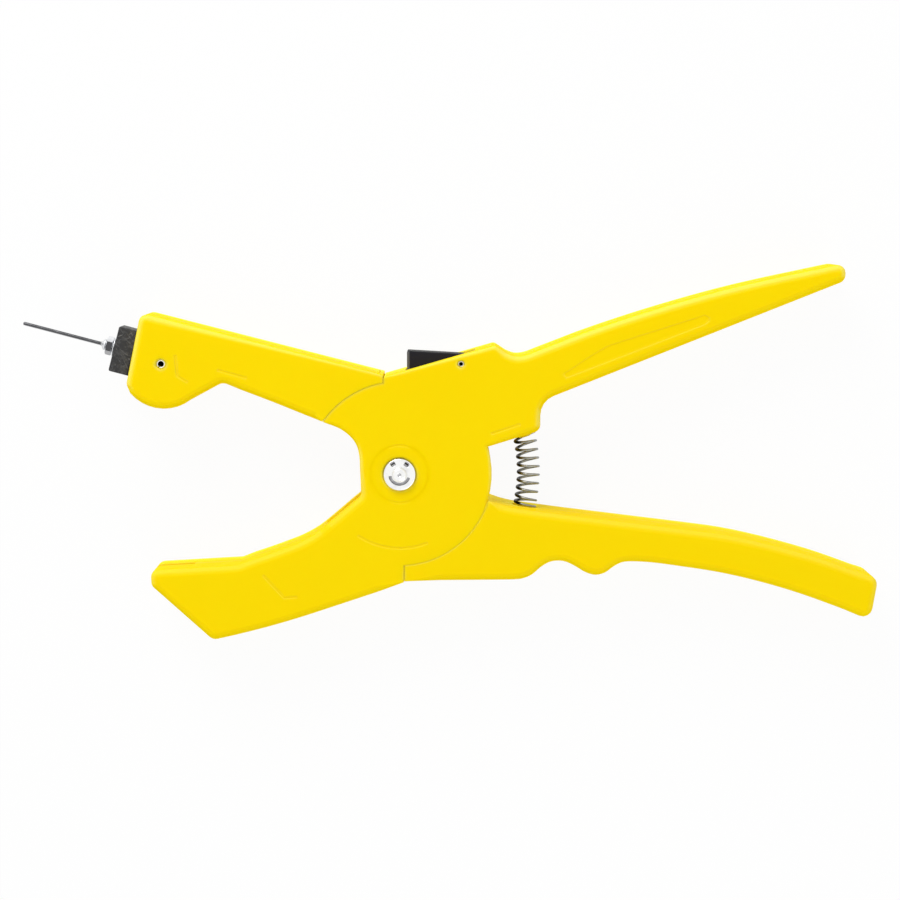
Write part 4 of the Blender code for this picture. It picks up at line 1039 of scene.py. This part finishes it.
@dataclass
class StopPad:
    """Thin pad on each stop face of the frame that narrows the gap to the lever's shoulder.

    A face is given by its name, its place along X, where it starts and ends along Y, and the
    side toward which it looks.
    """

    thickness: float = 0.00024
    sink: float = 0.00005
    inset: float = 0.0001
    edge: float = 0.00002
    faces: Tuple[Tuple[str, float, float, float, float], ...] = (
        ("upper", -0.0052, 0.0306, 0.0320, -1.0), ("lower", 0.0013, -0.0362, -0.0310, 1.0))

    def build(self, material: bpy.types.Material) -> None:
        """Builds the two pads.

        Args:
            material: Finish of the trim.
        """
        for where, face, low, high, way in self.faces:
            near, far = sorted((face - way * self.sink, face + way * self.thickness))
            pad = Shop.slab(f"stop_pad_{where}", oblong(near, low, far, high), self.inset,
                            THICKNESS - self.inset, self.edge, 1)
            Shop.dress(pad, material, Body.FRAME, Slot.YELLOW)


@dataclass
class Pivot:
    """Main pivot: pin, washer, push-on clip, and the bearing inside.

    The washer, the clip and the collar are given by outer and inner radius, height and
    thickness, and a notch by where it starts and ends and by its width.
    """

    pin_radius: float = 0.0040
    head_radius: float = 0.0070
    head_thickness: float = 0.0016
    stub_radius: float = 0.0023
    groove_radius: float = 0.0016
    shoulder: float = 0.02405
    stub_low: float = 0.02555
    stub_high: float = 0.02625
    corner: float = 0.0003
    dome_rise: float = 0.0006
    dome_steps: int = 7
    sides: int = 72
    dimple_radius: float = 0.0007
    dimple: Tuple[Pair, ...] = ((1.0, 0.95), (0.6, 0.55), (0.0, 0.4))
    washer: Four = (0.0052, 0.00435, 0.02335, 0.0007)
    washer_edge: float = 0.00015
    clip: Four = (0.0053, 0.00195, 0.0244, 0.0008)
    clip_edge: float = 0.0002
    tool_edge: float = 0.0001
    notch_degrees: Pair = (56.0, 122.0)
    notch: Point = (0.0034, 0.0049, 0.0016)
    notch_corner: float = 0.0003
    window: Pair = (0.0027, 0.0037)
    window_degrees: Pair = (188.0, 342.0)
    window_corner: float = 0.0002
    collar: Four = (0.00565, 0.00540, 0.0232, 0.0007)
    collar_edge: float = 0.00005
    bearing: Tuple[str, ...] = ("pivot_bush", "thrust_washer_front", "thrust_washer_back")
    # bore_shade paints shade in the dimple of the dome
    bright: Worked = Worked("pivot_bright", (0.34, 0.34, 0.35), (0.70, 0.70, 0.71), 0.24,
                            Lay.ROUND, split=(0.0242, 0.0245), beyond=(0.92, 0.92, 0.91),
                            bore=0.0006, bore_shade=(0.45, 0.45, 0.46))
    dark: Worked = Worked("pivot_dark", (0.42, 0.42, 0.44), (0.26, 0.26, 0.27), 0.4, Lay.ROUND)

    def build(self, yellow: bpy.types.Material) -> None:
        """Builds and dresses every piece of the pivot.

        Args:
            yellow: Finish of the trim.
        """
        bright, dark = self.bright.material(), self.dark.material()
        Shop.dress(self.pin(), bright, Body.FRAME, Slot.BRIGHT, "pivot_pin")
        washer = Shop.washer("hub_washer", self.washer, self.washer_edge, sides=self.sides)
        Shop.dress(washer, dark, Body.FRAME, Slot.DARK, "pivot_washer")
        Shop.dress(self.spring_clip(), bright, Body.FRAME, Slot.BRIGHT, "pivot_clip")
        collar = Shop.washer("hub_collar", self.collar, self.collar_edge, sides=self.sides)
        Shop.dress(collar, yellow, Body.FRAME, Slot.YELLOW)
        Shop.recolour(BRONZE_SHELL.material(), *self.bearing)

    def pin(self) -> bpy.types.Object:
        """Pin with a round head at the back and a grooved, domed stub at the front.

        Returns:
            The pin.
        """
        low, high = self.stub_low, self.stub_high
        profile = [(0.0, 0.0), (self.head_radius, 0.0), (self.head_radius, self.head_thickness),
                   (self.pin_radius, self.head_thickness), (self.pin_radius, self.shoulder),
                   (self.groove_radius, self.shoulder), (self.groove_radius, low),
                   (self.stub_radius, low), (self.stub_radius, high)]
        profile = Shop.eased(profile, self.corner)
        for k in range(1, self.dome_steps):
            turn = math.pi / 2 * k / self.dome_steps
            profile.append((self.dimple_radius + (self.stub_radius - self.dimple_radius)
                            * math.cos(turn), high + self.dome_rise * math.sin(turn)))
        profile += [(self.dimple_radius * out, high + self.dome_rise * up)
                    for out, up in self.dimple]
        return Shop.turned("hub_pin", profile, sides=self.sides)

    def spring_clip(self) -> bpy.types.Object:
        """Push-on clip with two notches and a curved window.

        Returns:
            The clip.
        """
        clip = Shop.washer("hub_clip", self.clip, self.clip_edge, sides=self.sides)
        low, high = self.clip[2] - CLEAR, self.clip[2] + self.clip[3] + CLEAR
        near, far = self.window
        start, end = self.window_degrees
        outlines = [self.notched(degrees) for degrees in self.notch_degrees]
        outlines.append(Shop.eased(arc(far, start, end) + arc(near, end, start),
                                   self.window_corner, 2, True))
        for outline in outlines:
            Shop.carve(clip, Shop.slab("clip_tool", outline, low, high, self.tool_edge, 1))
        return clip

    def notched(self, degrees: float) -> List[Pair]:
        """Plan outline of one notch of the clip.

        Args:
            degrees: Where the notch stands.

        Returns:
            The outline with round corners.
        """
        inner, outer, width = self.notch
        along = Vector(polar(1.0, degrees))
        side = Vector((-along.y, along.x)) * (width / 2)
        corners = [along * inner - side, along * outer - side, along * outer + side,
                   along * inner + side]
        return Shop.eased(corners, self.notch_corner, CORNER_STEPS, True)


@dataclass
class NeedleSet:
    """Swinging carrier block with the needle, its washer and the lock nut.

    The stud is given by its radius, start and end, the flare and the tip by radius and length,
    and their profiles by shares of these.
    """

    pin: Pair = CARRIER_PIN
    degrees: float = 165.3
    offset: float = 0.0005
    reach: float = 0.0172
    upper: float = 0.0081
    lower: float = 0.0073
    thickness: float = 0.0100
    edge: float = 0.00025
    corner: float = 0.0006
    pin_hole: float = 0.00185
    seat_radius: float = 0.00185
    seat_depth: float = 0.00735
    stud: Point = (0.0015, 0.0102, 0.02075)
    stud_corner: Pair = (0.0003, 0.0002)
    flare: Pair = (0.0019, 0.0014)
    flare_profile: Tuple[Pair, ...] = ((1.6, 0.8), (1.0, 1.15))
    flare_rim: float = 0.35
    needle_radius: float = 0.0006
    needle_reach: float = 0.0492
    needle_steps: int = 6
    tip: Pair = (0.0004, 0.0006)
    tip_profile: Tuple[Pair, ...] = ((0.97, 0.35), (0.87, 0.75))
    washer: Four = (0.0034, 0.00185, 0.01755, 0.0003)
    washer_edge: float = 0.00008
    nut_flats: float = 0.0055
    nut_low: float = 0.0182
    nut_thickness: float = 0.0022
    nut_land: float = 0.97
    nut_slope: float = 30.0
    nut_bore: float = 0.00185
    thread_pitch: float = 0.0005
    thread_depths: Pair = (0.00012, -0.0001)
    back_steps: int = 20
    hole_sides: int = 40
    chamfer_sides: int = 64
    washer_steel: Worked = Worked("nut_bright", (0.86, 0.87, 0.89), (0.66, 0.67, 0.69), 0.28,
                                  Lay.ROUND)
    # the nut's facets take painted reflection and shade
    nut_steel: Worked = Worked("nut_steel", (0.88, 0.89, 0.91), (0.60, 0.61, 0.63), 0.28,
                               Lay.ROUND, facet_shade=1.0)
    # past the shoulder the needle's facets take painted reflection and shade
    needle_steel: Worked = Worked("needle_steel", (0.84, 0.85, 0.87), (0.20, 0.20, 0.21), 0.3,
                                  Lay.ALONG, split=(0.0218, 0.0225),
                                  beyond=(0.09, 0.09, 0.095), facet_shade=0.8)

    def axis(self) -> Point:
        """Direction from the carrier pin toward the needle's tip."""
        return (*polar(1.0, self.degrees), 0.0)

    def origin(self) -> Point:
        """Where the needle's distances start."""
        across = Vector(polar(self.offset, self.degrees - 90.0))
        return (self.pin[0] + across.x, self.pin[1] + across.y, MIDDLE)

    def metal(self, finish: Worked) -> bpy.types.Material:
        """Material of a finish that is worked about the needle's axis."""
        return replace(finish, axis=self.axis(), centre=self.origin()).material()

    def turned(self, name: str, profile: Sequence[Pair], sides: int = 32,
               joined: bool = False) -> bpy.types.Object:
        """Solid or ring turned about the needle's axis."""
        return Shop.turned(name, profile, self.origin(), self.axis(), sides, joined)

    def build(self) -> None:
        """Builds and dresses the block and what it carries."""
        Shop.dress(self.block(), GREY_BLOCK.material(), Body.CARRIER, Slot.GREY,
                   "needle_carrier")
        Shop.dress(self.needle(), self.metal(self.needle_steel), Body.CARRIER, Slot.BRIGHT,
                   "needle")
        washer = Shop.washer("seat_washer", self.washer, self.washer_edge, self.origin(),
                             self.axis(), steps=2)
        Shop.dress(washer, self.metal(self.washer_steel), Body.CARRIER, Slot.BRIGHT,
                   "needle_washer")
        Shop.dress(self.nut(), self.metal(self.nut_steel), Body.CARRIER, Slot.BRIGHT,
                   "lock_nut")

    def block(self) -> bpy.types.Object:
        """Carrier block with a round back, softened edges, pin hole and needle seat.

        Returns:
            The block.
        """
        along, across = Vector(polar(1.0, self.degrees)), Vector(polar(1.0, self.degrees - 90.0))
        end = Vector(self.pin) + along * self.reach
        back = math.degrees(math.asin(self.lower / self.upper))
        start = self.degrees - 90.0
        swing = arc(self.upper, start, start - 90.0 - back, self.pin, self.back_steps)
        corners = [swing[0], end + across * self.upper, end - across * self.lower, swing[-1]]
        outline = Shop.eased(corners, self.corner, CORNER_STEPS)[1:-1] + swing[::-1]
        low, high = MIDDLE - self.thickness / 2, MIDDLE + self.thickness / 2
        block = Shop.slab("needle_block", outline, low, high, self.edge)
        Shop.drill(block, self.pin_hole, (-CLEAR, self.thickness + CLEAR), (*self.pin, low),
                   sides=self.hole_sides)
        Shop.drill(block, self.seat_radius, (self.reach - self.seat_depth, self.reach + CLEAR),
                   self.origin(), self.axis())
        return block

    def thread(self, radius: float, start: float, end: float, depth: float) -> List[Pair]:
        """Zigzag profile of a thread between two distances.

        Args:
            radius: Radius of its crests.
            start: Distance at which it starts.
            end: Distance at which it ends.
            depth: How far it cuts in, or a minus figure for a thread that stands out.

        Returns:
            The profile.
        """
        turns = int((end - start) / self.thread_pitch) * 2
        return [(radius - (depth if i % 2 else 0.0), start + (end - start) * i / turns)
                for i in range(turns + 1)]

    def needle(self) -> bpy.types.Object:
        """Needle with a threaded stud, a conical shoulder and a blunt end.

        Returns:
            The needle.
        """
        radius, start, end = self.stud
        lead, run = self.stud_corner
        flare, length = self.flare
        blunt, taper = self.tip
        thin, steps = self.needle_radius, self.needle_steps
        tip = self.needle_reach - taper
        profile = [(0.0, start), (radius - lead, start)]
        profile += self.thread(radius, start + lead, end - run, self.thread_depths[0])
        profile += [(radius - run, end), (flare, end), (flare, end + length * self.flare_rim)]
        profile += [(thin * out, end + length * up) for out, up in self.flare_profile]
        profile += [(thin, end + length + (tip - end - length) * k / steps)
                    for k in range(1, steps + 1)]
        profile += [(thin * out, tip + taper * up) for out, up in self.tip_profile]
        profile += [(blunt, self.needle_reach), (0.0, self.needle_reach)]
        return self.turned("tag_needle", profile)

    def nut(self) -> bpy.types.Object:
        """Hex nut with chamfered rims and a threaded bore.

        Returns:
            The nut.
        """
        corner = self.nut_flats / 2 / math.cos(math.pi / HEX)
        low, high = self.nut_low, self.nut_low + self.nut_thickness
        land, wide = self.nut_flats / 2 * self.nut_land, corner + 2 * CLEAR
        slope = (wide - land) * math.tan(math.radians(self.nut_slope))
        nut = self.turned("hex_nut", [(corner, low), (corner, high)], HEX)
        for rim, way in ((low, 1.0), (high, -1.0)):
            past = rim - way * 2 * CLEAR
            profile = [(land, rim), (wide, rim + way * slope), (wide, past), (land, past)]
            Shop.carve(nut, self.turned("rim_tool", profile, self.chamfer_sides, True))
        bore = self.thread(self.nut_bore, low - CLEAR, high + CLEAR, self.thread_depths[1])
        Shop.carve(nut, self.turned("bore_tool", bore))
        return nut


@dataclass
class Latch:
    """Hub latch: a black block with a tooth under its nose."""

    pin: Pair = LATCH_PIN
    nose: Tuple[Pair, ...] = ((0.0024, 0.0408), (0.0024, 0.0346), (0.0028, 0.0315),
                              (0.0068, 0.0313), (0.0086, 0.0326))
    back_radius: float = 0.0029
    back_steps: int = 16
    thickness: float = 0.0100
    edge: float = 0.0003
    corner: float = 0.0006
    pin_hole: float = 0.00125

    def build(self) -> None:
        """Builds and dresses the latch."""
        back = arc(self.back_radius, 90.0, -90.0, self.pin, self.back_steps)
        corners = [back[-1], *self.nose[::-1], back[0]]
        outline = (Shop.eased(corners, self.corner, CORNER_STEPS)[1:-1] + back)[::-1]
        low, high = MIDDLE - self.thickness / 2, MIDDLE + self.thickness / 2
        block = Shop.slab("hub_latch", outline, low, high, self.edge)
        Shop.drill(block, self.pin_hole, (-CLEAR, self.thickness + CLEAR), (*self.pin, low))
        Shop.dress(block, BLACK_NYLON.material(), Body.LATCH, Slot.BLACK, "latch")


@dataclass
class RolledPin:
    """Rolled cross pin with a slit along one side, in a collar at each end of its hole.

    The collar is given by its gap to the pin, how deep it lies and its depth, and the black shade
    disc, which stands in for the shade deep in the bore, by its height, its thickness and its
    share of the bore.
    """

    name: str
    node: str
    body: Body
    centre: Pair
    radius: float
    wall: float
    hole: float
    collar: Point = (0.00008, 0.00005, 0.0020)
    sink: float = 0.0005
    rim: float = 0.00012
    slit_degrees: float = 235.0
    slit_half: float = 9.0
    steps: int = 40
    shade_disc: Point = (0.0190, 0.0004, 0.97)
    shade_disc_sides: int = 32
    steel: Worked = Worked("pin_steel", (0.95, 0.93, 0.82), (0.74, 0.72, 0.64), 0.28, Lay.ALONG)

    def build(self, yellow: bpy.types.Material) -> None:
        """Builds and dresses the pin and its collars, with painted shade inside its bore and a
        black disc deep in it that stands in for shade.

        Args:
            yellow: Finish of the trim.
        """
        origin, inner = (*self.centre, 0.0), self.radius - self.wall
        start, end = self.slit_degrees + self.slit_half, self.slit_degrees - self.slit_half + 360.0
        outline = arc(self.radius, start, end, self.centre, self.steps)
        outline += arc(inner, end, start, self.centre, self.steps)
        pin = Shop.slab(self.name, outline, self.sink, THICKNESS - self.sink, self.rim, 2)
        # painted shade inside the pin's bore
        finish = replace(self.steel, name=self.name + "_steel", centre=origin, bore=inner)
        Shop.dress(pin, finish.material(), self.body, Slot.BRIGHT, self.node)
        # black disc set where there is only shade in the bore
        place, thick, share = self.shade_disc
        disc = [(inner * share, place), (inner * share, place + thick)]
        Shop.dress(Shop.turned(self.name + "_core", disc, origin, sides=self.shade_disc_sides),
                   PIN_SHADE.material(), self.body, Slot.DARK)
        gap, sink, depth = self.collar
        for side, low in (("front", THICKNESS - sink - depth), ("back", sink)):
            collar = Shop.washer(f"{self.name}_collar_{side}",
                                 (self.hole, self.radius + gap, low, depth), origin=origin,
                                 sides=self.steps)
            Shop.dress(collar, yellow, self.body, Slot.YELLOW)


@dataclass
class Screw:
    """Cross-recess screw that enters from the back.

    The drive is given by its length, width and depth, and the head's profile by shares of its
    radius and by heights.
    """

    name: str
    node: str
    body: Body
    spot: Pair
    radius: float = 0.0015
    core_share: float = 0.9
    tip_share: float = 0.8
    head_radius: float = 0.0028
    head_height: float = 0.0020
    head_profile: Tuple[Pair, ...] = ((0.55, 0.0), (0.86, 0.00025), (1.0, 0.0008))
    length: float = 0.0150
    sink: float = 0.0006
    pitch: float = 0.0006
    thread_depth: float = 0.00022
    drive: Point = (0.0034, 0.0009, 0.0011)
    drive_edge: float = 0.0002
    sides: int = 32

    def build(self, material: bpy.types.Material) -> None:
        """Builds and dresses the screw.

        Args:
            material: Finish of the screws.
        """
        low, head = self.sink, self.sink + self.head_height
        end = self.sink + self.length
        run = end - head - self.radius
        profile = [(0.0, low)]
        profile += [(self.head_radius * out, low + up) for out, up in self.head_profile]
        profile += [(self.head_radius, head), (self.radius * self.core_share, head)]
        turns = int(run / self.pitch) * 2
        profile += [(self.radius - (0.0 if i % 2 else self.thread_depth),
                     head + run * i / turns) for i in range(1, turns)]
        profile += [(self.radius * self.tip_share, end - self.radius), (0.0, end)]
        screw = Shop.turned(self.name, profile, (*self.spot, 0.0), sides=self.sides)
        length, width, depth = self.drive
        x, y = self.spot
        for across, tall in ((length / 2, width / 2), (width / 2, length / 2)):
            outline = Shop.eased(oblong(x - across, y - tall, x + across, y + tall),
                                 self.drive_edge, 3, True)
            Shop.carve(screw, Shop.slab("drive_tool", outline, low - CLEAR, low + depth,
                                        self.drive_edge, 2))
        Shop.dress(screw, material, self.body, Slot.DARK, self.node)


@dataclass
class Screws:
    """The six case screws."""

    frame_spots: Tuple[Pair, ...] = ((-0.0275, -0.0350), (0.0402, 0.0312), (0.1110, 0.0562))
    lever_spots: Tuple[Pair, ...] = ((-0.0390, 0.0318), (0.0472, -0.0216), (0.1260, -0.0314))
    places: Tuple[str, ...] = ("jaw", "neck", "grip")
    finish: Worked = Worked("screw_dark", (0.24, 0.24, 0.25), (0.12, 0.12, 0.13), 0.38,
                            Lay.ROUND)

    def build(self) -> None:
        """Builds and dresses all six."""
        material = self.finish.material()
        for body, spots in ((Body.FRAME, self.frame_spots), (Body.LEVER, self.lever_spots)):
            for spot, where in zip(spots, self.places):
                Screw(f"{body.value}_case_screw_{where}", f"{body.value}_screw_{where}", body,
                      spot).build(material)


@dataclass
class HandleSpring:
    """Open coil spring between the two handles."""

    upper: Pair = (0.0418, 0.01287)
    upper_tilt: float = 16.91
    upper_out: Pair = (0.2908, -0.9568)
    lower: Pair = (0.0421, -0.01269)
    lower_tilt: float = -8.13
    lower_out: Pair = (0.1414, 0.9899)
    radius: float = 0.0035
    wire: float = 0.00040
    swell: float = 0.35
    turns: int = 9
    bow: float = 0.0013
    seat_gap: float = 0.0004
    end_pitch: float = 0.0020
    steps: int = 32
    # past the split the wire takes painted shade: the coils' left bends turn near black
    finish: Worked = Worked("spring_wire", (0.33, 0.335, 0.32), (0.165, 0.165, 0.155), 0.34,
                            Lay.ALONG, (-1.0, 0.0, 0.0), (0.0425, 0.0, MIDDLE), 0.0004, 0.00001,
                            split=(0.0008, 0.0024), beyond=(0.004, 0.004, 0.0035))

    def path(self) -> List[Vector]:
        """Middle line of the wire, from the frame's seat to the lever's seat.

        Returns:
            Its points.
        """
        lift = self.wire + self.seat_gap
        start = Vector(self.upper) + Vector(self.upper_out) * lift
        end = Vector(self.lower) + Vector(self.lower_out) * lift
        length = (end - start).length
        pitch = (length - self.end_pitch) / (self.turns - 1)
        points = []
        for i in range(self.turns * self.steps + 1):
            turn = i / self.steps
            if turn < self.turns - 1:
                way = turn * pitch
            else:
                way = length - (self.turns - turn) * self.end_pitch
            share = way / length
            centre = start.lerp(end, share)
            tilt = math.radians(self.upper_tilt + (self.lower_tilt - self.upper_tilt) * share)
            out = self.radius * math.cos(math.tau * turn)
            points.append(Vector((
                centre.x + self.bow * math.sin(math.pi * share) + out * math.cos(tilt),
                centre.y + out * math.sin(tilt),
                MIDDLE - self.radius * math.sin(math.tau * turn))))
        return points

    def radii(self) -> List[float]:
        """Radius of the wire along the path, which grows a little in the outer bends."""
        return [self.wire * (1.0 + self.swell * max(0.0, -math.cos(math.tau * i / self.steps)))
                for i in range(self.turns * self.steps + 1)]

    def build(self) -> None:
        """Builds the wire between the two handles in place of the imported spring."""
        spring = Shop.wire("return_spring", self.path(), self.radii())
        spring.data.materials.append(self.finish.material())
        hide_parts("handle_spring")
        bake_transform(spring)
        log.info("%s bends between the handles", spring.name)


@dataclass
class Studio:
    """Floor, light and camera.

    A lamp is given by its name, place, size and power.
    """

    distance: float = 0.771
    tilt: float = 6.0
    aim: Point = (0.016833, 0.008167, 0.024)
    lens: float = 92.48
    clip: Pair = (0.01, 50.0)
    floor_size: float = 6.0
    floor_height: float = -0.0004
    world: float = 0.66
    lamps: Tuple[Tuple[str, Point, float, float], ...] = (
        ("key", (-0.45, 1.05, 0.70), 0.8, 9.6),
        ("fill", (0.55, -0.85, 0.70), 0.9, 2.8),
    )

    def build(self) -> None:
        """Builds the stage and sets the scene's camera."""
        self.floor()
        self.light()
        self.camera()
        bpy.context.scene.view_settings.view_transform = "Standard"

    def floor(self) -> None:
        """Pale floor under the tool."""
        half = self.floor_size / 2
        mesh = bpy.data.meshes.new("floor")
        corners = [(x, y, self.floor_height) for x, y in oblong(-half, -half, half, half)]
        mesh.from_pydata(corners, [], [(0, 1, 2, 3)])
        mesh.materials.append(Floor().material())
        floor = bpy.data.objects.new("floor", mesh)
        bpy.context.scene.collection.objects.link(floor)
        log.info("floor laid")

    def light(self) -> None:
        """Even world light, white to the camera, and two soft lamps."""
        world = bpy.data.worlds.new("studio")
        bpy.context.scene.world = world
        sheet = Sheet(world, "ShaderNodeOutputWorld")
        dim, full = (sheet.node("ShaderNodeBackground", {}, {"Color": WHITE, "Strength": level})
                     for level in (self.world, 1.0))
        sheet.finish(sheet.mixed(sheet.watched(), dim, full))
        for name, place, size, power in self.lamps:
            lamp = bpy.data.lights.new(name, "AREA")
            lamp.shape = "DISK"
            lamp.size = size
            lamp.energy = power
            stand = bpy.data.objects.new(name, lamp)
            stand.location = place
            aim = Vector((0.0, 0.0, MIDDLE)) - Vector(place)
            stand.rotation_mode = "QUATERNION"
            stand.rotation_quaternion = aim.to_track_quat("-Z", "Y")
            bpy.context.scene.collection.objects.link(stand)
            log.info("lamp %s", name)

    def camera(self) -> None:
        """Camera above the front face, tilted toward the jaws' upper edges."""
        lens = bpy.data.cameras.new("photo")
        lens.lens = self.lens
        lens.clip_start, lens.clip_end = self.clip
        camera = bpy.data.objects.new("photo", lens)
        lean = math.radians(self.tilt)
        camera.location = (self.aim[0], self.aim[1] + self.distance * math.sin(lean),
                           self.aim[2] + self.distance * math.cos(lean))
        camera.rotation_euler = (-lean, 0.0, 0.0)
        bpy.context.scene.collection.objects.link(camera)
        bpy.context.scene.camera = camera


def main() -> None:
    """Builds every sub-assembly in order."""
    Studio().build()
    yellow = Shells().build()
    Pivot().build(yellow)
    NeedleSet().build()
    Latch().build()
    RolledPin("jaw_cross_pin", "carrier_pin", Body.LEVER, CARRIER_PIN, radius=0.00145,
              wall=0.00048, hole=0.00182).build(yellow)
    RolledPin("latch_cross_pin", "latch_pin", Body.FRAME, LATCH_PIN, radius=0.00100,
              wall=0.00034, hole=0.00122).build(yellow)
    Screws().build()
    HandleSpring().build()
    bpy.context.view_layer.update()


if __name__ == "__main__":
    main()
